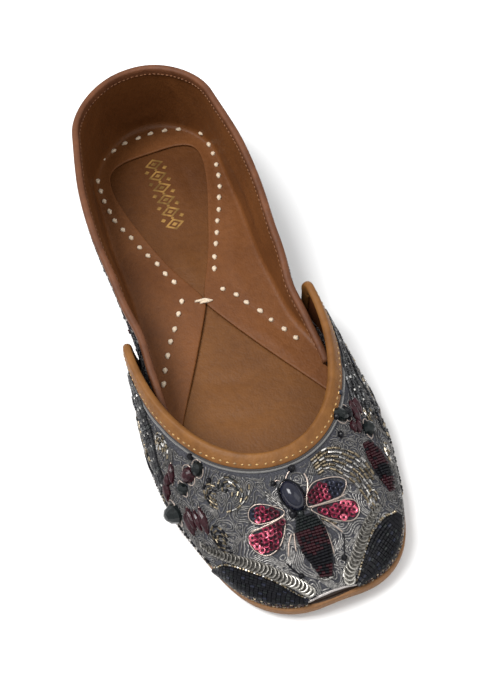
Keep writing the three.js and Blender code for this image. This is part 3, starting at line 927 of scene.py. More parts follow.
# ---------------------------------------------------------------- bindings, piping and stitching
class Edge:
    """A wall's edge from the shoe's middle line to its left end, with places on the wall's two faces.

    s is the distance along the edge, negative on the right side."""

    def __init__(self, points, normals, last, turn, foot=None):
        middle = len(points) // 2
        step = 1 if last > middle else -1
        row = np.arange(middle, last + step, step)
        self.line, self.out = points[row, -1], normals[row, -1]
        if foot is not None:
            down = [j for j in range(points.shape[1] - 2, -1, -1) if points[last, j, 2] > foot]
            self.line = np.concatenate([self.line, points[last, down]])
            self.out = np.concatenate([self.out, normals[last, down]])
        self.run = arc(self.line)
        self.length = self.run[-1]
        self.turn = turn
        self.faces = {1: tree_of(points), -1: tree_of(points - normals * WALL)}

    def frame(self, s):
        """Point, direction along, outward direction and direction into the wall, on the left."""
        s = abs(s)
        here, ahead, behind = read(self.line, self.run, [s, min(s + 0.5, self.length), max(s - 0.5, 0)])
        along, out = unit(ahead - behind), unit(read(self.out, self.run, s))
        if s < 0.4:
            along, out = np.array([0.0, 1, 0]), unit(out * [1, 0, 1])
        return here, along, out, unit(np.cross(along, out)) * self.turn

    def on_face(self, s, down, above, side=1):
        """The place on the outer (1) or inner (-1) face, a distance down from the edge."""
        p, _, out, into = self.frame(s)
        start = p + into * down + out * (4 if side > 0 else -4 - WALL)
        hit = cast(self.faces[side], start, -out * side, 9)
        if hit is None:
            hit = start - out * side * 4
        return self.mirror(hit + out * side * above, s)

    def mirror(self, v, s):
        return v * FLIP if s < 0 else v

    def strip(self, name, outside, inside, thick, material, slot, node):
        """The folded binding over this edge, reaching down outside and inside it."""
        clear, crest, puff, step = 0.05, 0.45, 0.12, 1.3
        # down from the edge, share of the thickness, and whether it's puffed
        outer = [
            (outside, 0.3, 0), (outside - 0.15, 0.8, 0), (outside - 0.5, 1, 0), (outside * 0.6, 1, 1),
            (outside * 0.3, 1, 1),
        ]
        inner = [(inside * 0.3, 1), (inside * 0.6, 1), (inside - 0.4, 1), (inside, 0.4)]
        angle = np.linspace(0.25, math.pi - 0.25, 9)[:, None]
        grids = []
        for extra in (thick, 0.0):
            grid = []
            for s in np.linspace(0, self.length, int(self.length / step) + 1):
                p, _, out, into = self.frame(s)
                swell = puff * (0.8 + 0.2 * math.cos(s * 2.2)) if extra else 0
                wide = out * np.cos(angle) * (WALL / 2 + clear + extra)
                fold = p - out * WALL / 2 + wide - into * (np.sin(angle) * (crest + extra) - 0.1)
                a = [self.on_face(s, down, clear + extra * k + swell * puffed) for down, k, puffed in outer]
                b = [self.on_face(s, down, clear + extra * k, -1) for down, k in inner]
                grid.append(np.concatenate([a, fold, b]))
            grid = np.array(grid)
            grid[0, :, 1] = 0
            grids.append(both_sides(grid))
        piece(name, *between(*grids), material, slot, [node])

    def cord(self, name, down, above, radius, material):
        """A round cord sewn on below the edge."""
        s = np.arange(-self.length, self.length, 1.2)
        points = [self.on_face(v, down, above) for v in s]
        normals = [self.mirror(self.frame(v)[2], v) for v in s]
        heap = Heap()
        heap.add(*tube(points, radius, 8, normals))
        heap.make(name, material, "upper_cloth")

    def stitches(self, name, down, above, pitch, size, material, slot, side):
        """Stitches along the outer (1) or inner (-1) face, from 1 mm off the middle to 2 mm off the end."""
        heap = Heap()
        count = int((self.length - 3) / pitch)
        for sign in (-1, 1):
            for s in sign * (1 + np.arange(count + 1) * pitch):
                _, along, out, _ = (self.mirror(v, s) for v in self.frame(s))
                at, deep = s + RNG.normal(0, 0.1), down + RNG.normal(0, 0.06)
                way = along + RNG.normal(0, 0.07, 3)
                place = self.on_face(at, deep, above, side)
                heap.place(STITCH, place, way, out * side, size * RNG.normal(1, 0.08, 3))
        heap.make(name, material, slot)


throat = Edge(vamp_points, vamp_normals, 0, 1, foot=9)
collar = Edge(quarter_points, quarter_normals, len(quarter_points) - 1, -1)
THROAT_BAND, COLLAR_BAND = (4.6, 4.0, 0.6), (3.0, 3.4, 0.55)  # reach outside and inside, thickness
throat.strip("throat_band", *THROAT_BAND, BINDING_LEATHER, "throat_leather", "throat_binding")
collar.strip("collar_band", *COLLAR_BAND, COLLAR_LEATHER, "collar_leather", "collar_binding")
throat.cord("throat_piping", THROAT_BAND[0] + 1.15, 0.25, 0.36, PIPING_CLOTH)
throat.cord("throat_seam", THROAT_BAND[0] + 0.4, 0.1, 0.42, SEAM_CLOTH)
throat.stitches(
    "throat_stitches", THROAT_BAND[0] - 1.5, 0.74, 2.4, (1.25, 0.6, 0.5), GOLD_THREAD, "throat_leather", 1
)
collar.stitches(
    "collar_stitches", COLLAR_BAND[1] - 0.9, 0.6, 2.2, (1.4, 0.4, 0.35), BROWN_THREAD, "collar_leather", -1
)

# Places (x, y) of the white running stitches on the left of the flange: from the back of the heel to
# the tack, and from the tack to the flange's front end.
HEEL_STITCHES = [
    (-117.0, 0.0), (-116.2, 11.0), (-110.5, 21.8), (-103.5, 26.0), (-96.0, 27.2), (-88.0, 27.0),
    (-74.0, 24.8), (-61.0, 20.6), (-49.0, 16.2), (-37.0, 11.8), (-24.0, 7.6),
]
FRONT_STITCHES = [(-17.5, 9.1), (-1.7, 18.6), (11.2, 25.4), (18.6, 28.6)]
STITCH_PITCH = 6.6


def on_flange(x, y, above):
    flat = SOLE_THICK + lift(x, y) + FLANGE_TOP
    hit = cast(lining_tree, np.array([x, y, flat + FILLET]), -UP)
    return np.array([x, y, (flat if hit is None else hit[2]) + above])


def add_running_stitches():
    heap = Heap()
    for line, start in ((HEEL_STITCHES, STITCH_PITCH / 2), (FRONT_STITCHES, 0.0)):
        line = np.array(line)
        goal = np.arange(start, arc(line)[-1] + 0.5, STITCH_PITCH)
        spots = along_line(line, goal)
        ahead = along_line(line, goal + 0.5) - along_line(line, np.maximum(goal - 0.5, 0))
        for side in (-1, 1):
            for (x, y), (dx, dy) in zip(spots, ahead):
                jog = RNG.normal(0, 0.25, 2)
                place = on_flange(x + jog[0], side * y + jog[1], 0.35)
                way = np.array([dx, side * dy + RNG.normal(0, 0.1), 0])
                heap.place(STITCH, place, way, UP, (2.7 + RNG.normal(0, 0.25), 1.9, 1.2))
    # the tack
    heap.place(STITCH, on_flange(-14.4, -1.0, 0.55), (0.25, 1, 0), UP, (6.4, 1.5, 1.3))
    heap.place(STITCH, on_flange(-13.3, 0.4, 0.5), (0.12, 1, 0), UP, (5.6, 1.4, 1.2))
    heap.make("running_stitches", WHITE_THREAD, "lining_leather")


def add_ornament():
    """A plain row of foil lozenges and dots along the heel of the insole."""
    heap = Heap()
    height = SOLE_THICK + GAP + INSOLE_THICK + 0.01
    for k, x in enumerate(np.linspace(-99, -61, 11)):
        shapes = [(DOT, 0, 1.6, 1.6), (DOT, -4.2, 2.4, 2.4), (DOT, 4.2, 2.4, 2.4)]
        if k % 2 == 0:
            shapes = [(LOZENGE, 0, 6.6, 8.8), (DOT, 0, 2.2, 2.8)]
        for shape, y, long, wide in shapes:
            heap.place(shape, np.array([x, y, height]), AHEAD, UP, (long, wide, 1.0))
    heap.make("insole_foil", GOLD_FOIL, "footbed_leather", False)


add_running_stitches()


# ---------------------------------------------------------------- beads, sequins and stones on a face
GOLD, SILVER, SMOKE, NAVY = "gold_beads", "silver_beads", "smoke_beads", "navy_beads"
BLACK, GREEN, MAROON = "black_glass", "green_glass", "maroon_glass"
METALS = [GOLD, SILVER, GOLD, GREEN]


class Trimming:
    """One heap of small pieces for each material, laid on one face."""

    def __init__(self, face):
        self.face = face
        self.heaps = {name: Heap() for name in GLASS}

    def finish(self, prefix):
        for name, (material, smooth) in GLASS.items():
            if self.heaps[name].count:
                self.heaps[name].make(f"{prefix}_{name}", material, "upper_cloth", smooth)

    def string(self, places, names, pitch, size, above=0.3, template=BEAD, jog=0.0):
        """Beads along a line; names are taken in turn."""
        points, normals, _ = self.face.trail(places, pitch, above)
        for k, way in enumerate(np.gradient(points, axis=0)):
            tilt = normals[k] + RNG.normal(0, jog, 3) if jog else normals[k]
            self.heaps[names[k % len(names)]].place(template, points[k], way, tilt, size)

    def wire(self, places, radius, above, name="wire", closed=False, pitch=0.7):
        points, normals, _ = self.face.trail(places, pitch, above, closed)
        self.heaps[name].add(*tube(points, radius, 5, normals))

    def stone(self, place, name, size, turn=0.0, above=0.0, template=DROP):
        """A stone at a place. size: long, wide, high; turn: degrees from along the foot's edge."""
        point, normal = self.face.at(*place, above)
        aim = self.face.at(*self.face.near(place, polar(1, math.radians(turn))))[0]
        way = aim - self.face.at(*place)[0]
        self.heaps[name].place(template, point, way, normal, (*size[:2], size[2] * 2))

    def scales(self, places, names, sizes, tilt, pitch, above=0.45):
        """Sequins shingled along a line, each leaning back on the one before."""
        points, normals, _ = self.face.trail(places, pitch, above)
        ways = unit(np.gradient(points, axis=0))
        sizes = np.interp(np.linspace(0, 1, len(points)), np.linspace(0, 1, len(sizes)), sizes)
        for k, point in enumerate(points):
            lean = normals[k] - ways[k] * tilt + RNG.normal(0, 0.07, 3)
            share = (k / len(points) + RNG.normal(0, 0.05)) * len(names)
            name = names[int(np.clip(share, 0, len(names) - 1))]
            self.heaps[name].place(SEQUIN, point, ways[k], lean, sizes[k])

    def sprinkle(self, places, choose, size, above, jog):
        """Sequins at many places; choose gives the heap from the place."""
        for place, point, normal in zip(places, *self.face.at(*places.T, above)):
            centre = point + normal * RNG.uniform(0, 0.45)
            heap = self.heaps[choose(place)]
            heap.place(SEQUIN, centre, RNG.normal(0, 1, 3), normal + RNG.normal(0, jog, 3), size)

    def body(self, axis, widths, names, pad):
        """A padded body of bugles in rows across its axis, with half its width by share of the axis."""
        points, normals, _ = self.face.trail(axis, 1.0)
        ways = unit(np.gradient(points, axis=0))
        for k, (point, normal) in enumerate(zip(points, normals)):
            share = k / (len(points) - 1)
            half = column(widths, "half", share)
            count = max(int(round(2 * half / 1.35)), 1)
            long = 2 * half / count
            x = (np.arange(count) - (count - 1) / 2) * long
            across = np.cross(normal, ways[k])
            swell = pad * np.sqrt(np.clip(1 - (x / (half + 0.4)) ** 2, 0, 1))
            for offset, height in zip(x, swell * math.sqrt(math.sin(math.pi * (0.08 + 0.84 * share)))):
                name = names[int(np.clip((share + RNG.normal(0, 0.02)) * len(names), 0, len(names) - 1))]
                name = BLACK if RNG.random() < 0.2 else name
                height += RNG.normal(0, 0.09)
                centre = point + across * offset + normal * (height - offset**2 / 70)
                way = across - normal * offset / half * 0.5 + RNG.normal(0, 0.05, 3)
                self.heaps[name].place(BUGLE, centre, way, normal, (long * 0.94, 1.05, 1.05))


# ---------------------------------------------------------------- the middle bee
# All places are (mm round the foot from the middle, share up the wall).
HEAD = (-2.8, 0.78)
BODY_AXIS = [(-1.4, 0.665), (-1.4, 0.59), (-1.9, 0.48), (-2.0, 0.38), (-2.6, 0.29)]
BODY_HALF = table("at half", (0.0, 3.2), (0.25, 5.2), (0.5, 5.2), (0.75, 3.9), (1.0, 2.2))
BODY_TONES = [GREEN, MAROON, MAROON, BLACK, MAROON]
BODY_OUTLINE = [
    (-1.4, 0.69), (-7.0, 0.63), (-7.2, 0.52), (-5.6, 0.38), (-2.6, 0.27), (0.4, 0.30), (2.8, 0.42),
    (3.8, 0.55), (3.4, 0.65),
]
WINGS = {
    "right_upper": [
        (-8.6, 0.71), (-12.8, 0.755), (-18.1, 0.765), (-21.6, 0.73), (-22.0, 0.68), (-18.1, 0.665),
    ],
    "right_lower": [
        (-9.4, 0.685), (-16.3, 0.655), (-22.3, 0.615), (-24.4, 0.56), (-22.6, 0.505), (-18.6, 0.495),
        (-13.4, 0.56),
    ],
    "left_upper": [
        (1.6, 0.705), (3.6, 0.765), (8.3, 0.80), (14.4, 0.785), (19.4, 0.745), (20.8, 0.70), (15.2, 0.67),
        (8.4, 0.69),
    ],
    "left_lower": [
        (2.4, 0.69), (8.3, 0.685), (15.2, 0.655), (19.6, 0.61), (19.4, 0.55), (15.4, 0.535), (9.6, 0.585),
        (5.0, 0.64),
    ],
}
VEINS = [((-9.0, 0.70), (-22.5, 0.62)), ((2.0, 0.70), (17.5, 0.665))]
LEGS = [
    [(-8.8, 0.60), (-11.0, 0.55), (-12.6, 0.48)], [(-7.8, 0.60), (-8.9, 0.54), (-9.4, 0.50)],
    [(5.0, 0.62), (7.2, 0.59), (10.0, 0.51)], [(4.6, 0.61), (4.2, 0.50), (3.4, 0.41)],
]


def add_wing(trim, upper, edge):
    scale = vamp.scale(*np.mean(edge, 0))

    def tone(place):
        away = np.linalg.norm((place - edge[0]) * scale) + RNG.normal(0, 0.7)
        if away < 5.4 or RNG.random() < 0.16:
            return "maroon_sequins"
        if upper and away > 10.2:
            return "navy_sequins"
        # Pale sequins, more of them towards the wing's tips: painted highlights.
        return "painted_highlight_sequins" if RNG.random() < 0.04 * (away - 4) else "magenta_sequins"

    rim, places = vamp.rim(edge), vamp.filling(edge, 1.75, 0.3)
    clear = [np.linalg.norm(rim - p, axis=1).min() > 0.95 for p in vamp.at(*places.T)[0]]
    trim.sprinkle(places[clear], tone, 2.6, 0.5, 0.2)
    trim.wire(edge, 0.21, 0.7, closed=True)


def add_middle_bee(trim):
    trim.stone(HEAD, "navy_glass", (11.4, 7.4, 3.8), 100, 0.3, SMOOTH_DROP)
    angle = np.arange(10) * math.tau / 10
    ring = np.stack([4.0 * np.cos(angle) - 1.0 * np.sin(angle), 6.0 * np.sin(angle)], -1)
    trim.wire(vamp.near(HEAD, ring), 0.45, 0.4, BLACK, closed=True)
    trim.stone((-5.6, 0.695), BLACK, (3.0, 2.8, 1.8), 20)
    trim.stone((-2.6, 0.685), GREEN, (3.2, 2.6, 1.6), 90)
    trim.body(BODY_AXIS, BODY_HALF, BODY_TONES, 2.3)
    trim.string([(-5.0, 0.285), (-3.4, 0.262), (-1.0, 0.258)], [SILVER], 1.9, (1.9, 0.9, 0.9), 1.0, BUGLE)
    for name, edge in WINGS.items():
        add_wing(trim, name.endswith("upper"), edge)
    for root, tip in VEINS:
        trim.wire([root, np.mean([root, tip], 0) + [0, 0.004], tip], 0.27, 1.3, pitch=0.8)
    # antennae, legs and the bugles beside the head
    trim.wire([(-4.5, 0.85), (-7.0, 0.872), (-9.2, 0.86)], 0.22, 0.35)
    trim.wire([(-3.4, 0.86), (-1.4, 0.885), (1.9, 0.905)], 0.22, 0.35)
    trim.stone((-9.2, 0.86), BLACK, (2.2, 2.0, 1.5))
    trim.stone((1.9, 0.905), BLACK, (3.0, 2.4, 1.7), 40)
    trim.wire([(6.5, 0.86), (6.4, 0.82), (4.0, 0.77), (1.2, 0.71)], 0.3, 0.5)
    for up in (0.0, 0.0156):
        trim.string([(-12.8, 0.80 + up), (-9.4, 0.745 + up)], [SILVER], 2.6, (2.3, 0.7, 0.7), 0.5, BUGLE)
    for leg in LEGS:
        trim.wire(leg, 0.3, 0.4)
    trim.string([(5.5, 0.615), (8.6, 0.575)], [GOLD], 1.8, (1.7, 0.7, 0.7), 0.5, BUGLE)
    trim.wire([(-14.0, 0.44), (-12.4, 0.39), (-10.8, 0.35)], 0.35, 0.3, BLACK)
    trim.stone((-10.6, 0.34), BLACK, (2.2, 1.9, 1.5), 30)
    trim.wire([(10.0, 0.50), (8.2, 0.43), (6.4, 0.37)], 0.3, 0.3, BLACK)
    trim.stone((6.2, 0.36), BLACK, (2.4, 2.2, 1.6), 30)


# ---------------------------------------------------------------- the side bees
SIDE_STONES = [  # place, glass, long, wide and high, turn in degrees
    ((-67.5, 0.27), GREEN, (8.6, 7.2, 4.6), 30),
    ((-44.8, 0.845), GREEN, (5.8, 4.6, 3.0), 80),
    ((-50.6, 0.765), MAROON, (6.4, 5.6, 3.0), 60),
    ((-55.6, 0.63), GREEN, (5.0, 4.2, 2.8), 0),
    ((-49.8, 0.885), BLACK, (2.8, 2.4, 1.8), 0),
    ((-38.2, 0.82), BLACK, (2.3, 2.2, 1.6), 0),
    ((40.6, 0.90), GREEN, (6.4, 4.8, 3.2), 110),
    ((44.6, 0.86), BLACK, (5.0, 4.0, 2.8), 60),
    ((37.6, 0.925), BLACK, (3.0, 2.6, 2.0), 0),
    ((50.0, 0.66), GREEN, (5.6, 5.2, 3.4), 0),
    ((32.4, 0.86), BLACK, (2.8, 2.3, 1.7), 40),
    ((52.0, 0.93), "navy_glass", (2.4, 2.2, 1.6), 0),
]
SIDE_PETALS = [  # from, to and width
    ((-64.9, 0.71), (-64.5, 0.55), 2.6), ((-68.0, 0.60), (-70.8, 0.44), 2.8),
    ((-71.0, 0.50), (-71.6, 0.31), 3.0), ((-54.8, 0.52), (-50.6, 0.40), 2.8),
    ((-57.6, 0.44), (-53.6, 0.32), 2.8), ((-45.4, 0.62), (-42.4, 0.47), 2.8),
    ((-49.4, 0.56), (-46.2, 0.45), 2.4), ((58.0, 0.80), (53.0, 0.72), 3.0),
    ((53.0, 0.84), (47.0, 0.74), 3.0), ((47.0, 0.77), (42.0, 0.74), 2.6),
    ((43.4, 0.82), (40.2, 0.77), 2.4),
]
SIDE_BODY = [(41.6, 0.675), (40.6, 0.60), (39.4, 0.51), (37.8, 0.40)]
SIDE_HALF = table("at half", (0.0, 2.0), (0.35, 3.7), (0.7, 3.2), (1.0, 1.4))


def add_side_bees(trim):
    for place, name, size, turn in SIDE_STONES:
        trim.stone(place, name, size, turn)
        if size[0] > 3:
            ring = polar(np.multiply(size[:2], 0.55), np.arange(8) * math.tau / 8)
            trim.wire(vamp.near(place, turned(ring, math.radians(turn))), 0.2, 0.3, closed=True)
    for start, end, wide in SIDE_PETALS:
        middle = np.mean([start, end], 0)
        way = vamp.at(*end, 0.2)[0] - vamp.at(*start, 0.2)[0]
        size = (np.linalg.norm(way) * 1.05, wide * 1.3, 3.4)
        point, normal = vamp.at(*middle, 0.1)
        trim.heaps[MAROON].place(PETAL, point, way, normal, size)
        trim.wire([start, middle + [0.9, 0], end], 0.2, 0.5)
    trim.body(SIDE_BODY, SIDE_HALF, [MAROON, MAROON, BLACK, MAROON], 1.7)


# ---------------------------------------------------------------- plumes and curls of bugles
PLUME = [(13.6, 0.86), (18.8, 0.855), (23.2, 0.81), (26.4, 0.745), (28.6, 0.67), (29.0, 0.58)]
PLUME_TONES = [GOLD, SILVER, GOLD, GOLD, SILVER]
CURLS = [  # middle, radii, first and last angle in degrees, tones
    ((-28.2, 0.815), (1.4, 2.9, 4.4), -60, 200, METALS),
    ((-72.0, 0.75), (1.2, 2.6, 4.0), -40, 240, [GOLD, SILVER]),
    ((-36.6, 0.745), (1.3, 2.5, 3.8), 60, 300, [GOLD, BLACK, GOLD]),
    ((-36.0, 0.50), (1.4, 2.8, 4.2), 20, 330, [GOLD, BLACK]),
    ((26.6, 0.52), (1.4, 2.8), -40, 220, [GOLD, SILVER]),
    ((61.0, 0.62), (1.4, 2.8, 4.2), -60, 200, METALS),
    ((-88.0, 0.42), (1.4, 2.8, 4.2), 0, 250, METALS),
    ((84.0, 0.40), (1.4, 2.8, 4.2), 0, 250, METALS),
    ((-97.0, 0.52), (1.4, 2.8), 30, 280, [GOLD, BLACK]),
    ((-104.0, 0.34), (1.4, 2.8, 4.2), -30, 230, METALS),
    ((-76.0, 0.24), (1.4, 2.8), 90, 320, [GOLD, BLACK]),
    ((96.0, 0.56), (1.4, 2.8), -60, 200, [GOLD, BLACK]),
    ((104.0, 0.36), (1.4, 2.8, 4.2), 0, 250, METALS),
    ((70.0, 0.28), (1.4, 2.8), 60, 300, [GOLD, BLACK]),
    ((54.0, 0.40), (1.4, 2.8), -20, 230, [GOLD, SILVER]),
]
SIDE_PLUME = [(-29.9, 0.70), (-25.4, 0.74), (-20.4, 0.815), (-19.6, 0.85)]


def add_plumes(trim):
    for k in range(6):
        off = (k - 2.5) * 1.25
        line = []
        for s, t in PLUME:
            share = (s - PLUME[0][0]) / (PLUME[-1][0] - PLUME[0][0])
            spread = 0.55 + 0.6 * min(share, 0.5)
            shift = off * spread * np.array([share * 1.7, (1.1 - share * 0.8) * 1.4])
            line.append(vamp.near((s, t), shift))
        trim.string(line, PLUME_TONES[k % 3 :], 2.6, (2.3, 0.95, 0.95), 0.45, BUGLE, jog=0.08)
    for centre, radii, start, end, names in CURLS:
        for k, radius in enumerate(radii):
            angle = np.radians(np.linspace(start + 12 * k, end - 8 * k, 9))
            first = k % len(names)
            line = vamp.near(centre, polar(radius, angle))
            trim.string(line, names[first:] + names[:first], 1.75, (1.6, 0.72, 0.72), 0.4, BUGLE, 0.15)
    trim.string(SIDE_PLUME, [GOLD, SILVER], 1.9, (1.7, 0.75, 0.75), 0.45, BUGLE)


# ---------------------------------------------------------------- the beaded lobes beside the toe
LOBES = [  # right, left
    {
        "low": [(-45.8, 0.09), (-38.0, 0.085), (-28.0, 0.088), (-19.0, 0.082), (-12.0, 0.075)],
        "high": [(-45.6, 0.13), (-38.0, 0.29), (-29.0, 0.345), (-19.5, 0.30), (-11.8, 0.13)],
        "scales": [
            (-50.0, 0.30), (-42.0, 0.355), (-34.5, 0.40), (-28.0, 0.415), (-21.0, 0.395), (-16.0, 0.335),
            (-12.4, 0.28), (-9.7, 0.195),
        ],
    },
    {
        "low": [(33.2, 0.23), (27.0, 0.12), (20.0, 0.085), (13.0, 0.078), (7.2, 0.07)],
        "high": [(33.0, 0.30), (26.0, 0.385), (18.6, 0.38), (12.0, 0.28), (7.0, 0.11)],
        "scales": [
            (27.0, 0.47), (20.5, 0.465), (15.6, 0.42), (12.0, 0.365), (8.6, 0.30), (5.6, 0.245),
            (4.6, 0.165),
        ],
    },
]
HEM_TONES = [[GOLD, MAROON, GOLD, BLACK], [MAROON, BLACK, MAROON], [BLACK, GOLD, SMOKE]]


def add_lobes(trim):
    for lobe in LOBES:
        low, high = np.array(lobe["low"]), np.array(lobe["high"])
        for k in range(12):
            share = k / 11
            names = [BLACK] * (4 + k % 3) + [NAVY if k % 2 else GREEN]
            line = low + (high - low) * (0.03 + 0.94 * share)
            above = 0.4 + 1.0 * math.sin(math.pi * share)
            trim.string(line, names, 1.45, (1.4, 1.25, 1.25), above, BUGLE, 0.05)
        trim.string(high + [0, 0.018], [GOLD, GOLD, SILVER], 1.0, (0.95, 0.95, 0.95), 0.45)
        for k, names in enumerate(HEM_TONES):
            line = low - [0, 0.004 + 0.024 * k]
            line[[0, -1], 1] = np.maximum(line[[0, -1], 1], 0.02)
            trim.string(line, names, 1.2, (1.1, 1.15, 1.15), 0.5, jog=0.1)
        tones = ["smoke_sequins"] * 3 + ["silver_sequins"]
        trim.scales(lobe["scales"], tones, (2.4, 3.4, 4.2, 4.4, 4.3), 0.42, 1.4)


# ---------------------------------------------------------------- strands along the flanks
BANDS = [
    (-1, [(-116.0, 0.80), (-104.0, 0.80), (-92.0, 0.70), (-82.0, 0.55), (-75.0, 0.38)]),
    (1, [(112.0, 0.82), (98.0, 0.86), (84.0, 0.86), (71.0, 0.80), (60.0, 0.70)]),
]
STRANDS = [
    [(114.0, 0.30), (104.0, 0.22), (90.0, 0.24), (76.0, 0.38), (66.0, 0.52)],
    [(114.0, 0.55), (106.0, 0.64), (94.0, 0.68), (84.0, 0.64), (74.0, 0.52), (66.0, 0.40)],
    [(-114.0, 0.28), (-104.0, 0.20), (-92.0, 0.22), (-82.0, 0.32)],
    [(-114.0, 0.52), (-108.0, 0.60), (-100.0, 0.62), (-92.0, 0.56), (-84.0, 0.44)],
]


def add_flanks(trim):
    for sign, path in BANDS:
        for k in range(7):
            line = path + np.array([0.9 * sign, -0.032]) * (k - 3)
            line[:, 1] = np.clip(line[:, 1], 0.05, 0.86)
            if k in (2, 5):
                trim.string(line, [SILVER] + [BLACK] * 3, 1.25, (1.1, 1.1, 1.1), 0.5, BEAD, 0.06)
            else:
                trim.string(line, [BLACK] * 4 + [GREEN], 1.6, (1.5, 1.2, 1.2), 0.5, BUGLE, 0.06)
    for line in STRANDS:
        trim.string(line, [BLACK] * 4 + [NAVY], 1.5, (1.4, 1.1, 1.1), 0.45, BUGLE, 0.06)
        trim.string(np.array(line) - [0, 0.035], [SMOKE, BLACK], 1.3, (1.1, 1.0, 1.0), 0.45)
    for side in (-1, 1):
        for level, names in ((0.06, [GOLD, BLACK]), (0.11, [BLACK, BLACK, SILVER])):
            line = [(side * s, level) for s in (50.0, 70.0, 90.0, 108.0, 118.0)]
            trim.string(line, names, 1.35, (1.2, 1.1, 1.1), 0.45)


# ---------------------------------------------------------------- the dark front at the tip of the toe, partly painted shade
# How the front spreads on the sole's rim: share of the welt, and drop in mm.
RIM_COVER = [(0.1, 0.0), (0.3, 0.0), (0.45, 0.0), (0.56, 0.06), (0.62, 0.2)]


def add_toe_front(trim):
    """The dark front under the silver edge of the embroidered cloth: dark leather, darkened further as
    painted shade.
    """
    s = np.linspace(-14.5, 9.5, 49)
    top = np.interp(s, [-14.5, -8.3, -2.8, 2.8, 9.5], [0.012, 0.075, 0.095, 0.075, 0.012])
    points, normals = vamp.at(s[:, None], np.linspace(1, 0, 9) * top[:, None])
    bell = np.sin(math.pi * (s + 14.5) / 24)[:, None]
    foot, out = points[:, -1], unit(normals[:, -1] * [1, 1, 0])
    # the dark front, painted shade in part, also laps over the sole's rim
    rim = []
    for share, drop in RIM_COVER:
        place = foot + out * welt(foot[:, :1]) * share * (0.15 + 0.85 * bell)
        rim.append(on_sole(place, 0.3) - UP * drop * bell)
    outer = np.concatenate([points + normals * 0.3, np.stack(rim, 1)], 1)
    inner = np.concatenate([points, np.stack([v - out * 0.15 - UP * 0.2 for v in rim], 1)], 1)
    piece("toe_front", *between(inner, outer), FRONT_LEATHER_AND_SHADE, "upper_cloth")
    for up in (0.008, 0.021):
        trim.wire(np.stack([s, top + up], -1)[::4], 0.27, 0.3, "silver_edge")


vamp_trimming = Trimming(vamp)
for add in (add_toe_front, add_middle_bee, add_side_bees, add_plumes, add_lobes, add_flanks):
    add(vamp_trimming)
vamp_trimming.finish("vamp")
add_ornament()

# ---------------------------------------------------------------- the outside of the quarter
BORDERS = [  # share up the wall, tones and size
    (0.86, [BLACK] * 3 + [SILVER], 1.15), (0.80, [BLACK] * 5 + [GREEN], 1.25),
    (0.07, [BLACK, GOLD, BLACK], 1.15), (0.13, [BLACK] * 5 + [GREEN], 1.2),
]
NET_WAVE, NET_TALL = 24.0, 0.085
NET_LEVELS = (0.26, 0.43, 0.60, 0.77)


def add_quarter_trim(trim):
    """Dark strands under the collar and over the sole, and between them an ogee net of dark beads, with
    a few sequins round a bead in each mesh."""
    end = quarter.s[-1] - 30
    for level, names, size in BORDERS:
        trim.string([(s, level) for s in np.linspace(-end, end, 25)], names, size * 1.12, size, 0.45)
    run = np.linspace(-end, end, 160)
    for k, level in enumerate(NET_LEVELS):
        sway = np.sin(run * math.tau / NET_WAVE) * (-1) ** k
        line = np.stack([run, np.clip(level - 0.03 + sway * NET_TALL, 0.17, 0.76)], -1)
        trim.string(line, [BLACK] * 4 + [NAVY], 1.45, (1.35, 1.05, 1.05), 0.5, jog=0.06)
    for k in range(len(NET_LEVELS) - 1):
        level = (NET_LEVELS[k] + NET_LEVELS[k + 1]) / 2 - 0.03
        for s in np.arange(-end + (0.75 - 0.5 * (k % 2)) * NET_WAVE, end - NET_WAVE / 3, NET_WAVE):
            ring = polar(1.9, RNG.uniform(0, 1) + np.arange(5) * math.tau / 5)
            tone = ("navy_sequins", "maroon_sequins")[RNG.integers(2)]
            trim.sprinkle(quarter.near((s, level), ring), lambda place: tone, 2.3, 0.35, 0.25)
            trim.stone((s, level), BLACK, (1.9, 1.9, 1.4), 0, 0.3)


quarter_trimming = Trimming(quarter)
add_quarter_trim(quarter_trimming)
quarter_trimming.finish("quarter")


# ---------------------------------------------------------------- couched threads
def winding(values, levels):
    """Lines of equal value over a grid, as lists of (row, column), found cell by cell."""
    lines = []
    for level in levels:
        above = values > level
        links = {}

        def crossing(i, j, across):
            a, b = values[i, j], values[i, j + 1] if across else values[i + 1, j]
            share = (level - a) / (b - a)
            return (i, j + share) if across else (i + share, j)

        code = above[:-1, :-1] * 1 + above[:-1, 1:] * 2 + above[1:, 1:] * 4 + above[1:, :-1] * 8
        for i, j in np.argwhere((code > 0) & (code < 15)):
            near, ahead, far, back = above[i, j], above[i, j + 1], above[i + 1, j + 1], above[i + 1, j]
            sides = [
                (near != ahead, (i, j, True)), (ahead != far, (i, j + 1, False)),
                (back != far, (i + 1, j, True)), (near != back, (i, j, False)),
            ]
            edges = [edge for crossed, edge in sides if crossed]
            for a, b in zip(edges[::2], edges[1::2]):
                links.setdefault(a, []).append(b)
                links.setdefault(b, []).append(a)
        while links:
            here = next((k for k, v in links.items() if len(v) == 1), next(iter(links)))
            line = [crossing(*here)]
            while links.get(here):
                ahead = links[here].pop()
                links[ahead].remove(here)
                if not links[here]:
                    del links[here]
                here = ahead
                line.append(crossing(*here))
            del links[here]
            if len(line) > 6:
                lines.append(np.array(line))
    return lines


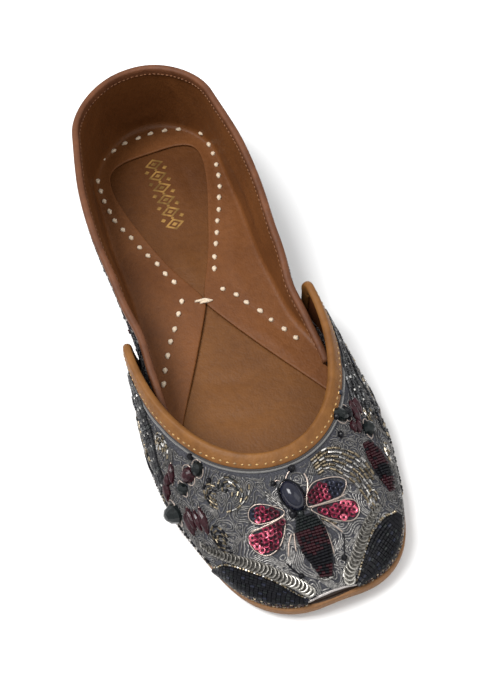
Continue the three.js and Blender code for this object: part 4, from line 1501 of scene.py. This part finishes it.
def couching(face, corners, seeds, keep, spacing, radius, heap, cell, ripple):
    """Threads in rings round the seeds, laid over part of a face where keep() allows."""
    start, end, step = *corners, np.array([cell, cell / 48])
    p, _ = face.at(*np.meshgrid(*map(np.arange, start, end, step), indexing="ij"))
    x, y, z = np.moveaxis(p, -1, 0)
    warp = np.stack([np.sin(y * 0.55 + z * 0.3), np.cos(x * 0.5), np.sin(x * 0.42 + 1.0)], -1)
    p = p + ripple * warp
    away = np.full(p.shape[:2], 1e3)
    for seed in seeds:
        away = np.minimum(away, np.linalg.norm(p - seed, axis=-1))
    for line in winding(away, np.arange(0.9, away.max(), spacing)):
        places = start + line * step
        ends = np.flatnonzero(np.diff(np.concatenate([[0], keep(places).astype(int), [0]])))
        for a, b in zip(ends[::2], ends[1::2]):
            if b - a < 5:
                continue
            points, normals = face.at(*places[a:b].T, radius * 0.7)
            run = arc(points)
            goal = np.linspace(0, run[-1], max(int(run[-1] / 0.75), 2) + 1)
            if len(goal) > 3:
                heap.add(*tube(read(points, run, goal), radius, 4, read(normals, run, goal), 0.8))


def seed_points(face, corners, gap, count):
    """Random places on a face, none nearer than a gap."""
    chosen = []
    for _ in range(count):
        p, _ = face.at(*RNG.uniform(*corners))
        if all(np.linalg.norm(p - q) > gap for q in chosen):
            chosen.append(p)
    return chosen


def near_bee(places):
    """The silvery ground round the middle bee and down to the toe."""
    across = places[:, 0] / (34 - 12 * places[:, 1])
    return across**2 + np.clip((places[:, 1] - 0.45) / 0.42, 0, None) ** 2 < 1


def add_couching():
    outlines = [*WINGS.values(), BODY_OUTLINE]
    seeds = seed_points(vamp, ((-118, 0.05), (118, 0.95)), 5.0, 4000)
    for edge in outlines:
        rim = vamp.rim(edge, 1.2)
        seeds = [q for q in seeds if np.linalg.norm(rim - q, axis=1).min() > 4.5] + list(rim)
    shut = outlines + [lobe["low"] + lobe["high"][::-1] for lobe in LOBES]

    def keep(places):
        good = places[:, 1] < 0.90 - 0.09 * smoothstep(np.abs(places[:, 0]), 30, 75)
        good &= (places[:, 1] > 0.085) | (np.abs(places[:, 0] + 2.5) > 12)
        for edge in shut:
            good &= ~vamp.inside(edge, places)
        return good

    bright, dull, dark = Heap(), Heap(), Heap()
    corners = ((-118, 0.02), (118, 0.90))
    couching(vamp, corners, seeds, lambda p: keep(p) & near_bee(p), 0.70, 0.25, bright, 0.42, 2.0)
    couching(vamp, corners, seeds, lambda p: keep(p) & ~near_bee(p), 0.78, 0.25, dull, 0.42, 2.0)
    bright.make("vamp_threads", COUCHED_THREAD, "upper_cloth")
    dull.make("flank_threads", DULL_THREAD, "upper_cloth")
    back, front = quarter.s[0] + 2, quarter.s[-1] - 2
    seeds = seed_points(quarter, ((back, 0.05), (front, 0.8)), 6.4, 2600)
    corners = ((back, 0.04), (front, 0.86))
    couching(quarter, corners, seeds, lambda p: p[:, 1] > 0, 1.25, 0.27, dark, 0.7, 1.6)
    dark.make("quarter_threads", DARK_THREAD, "upper_cloth")


add_couching()
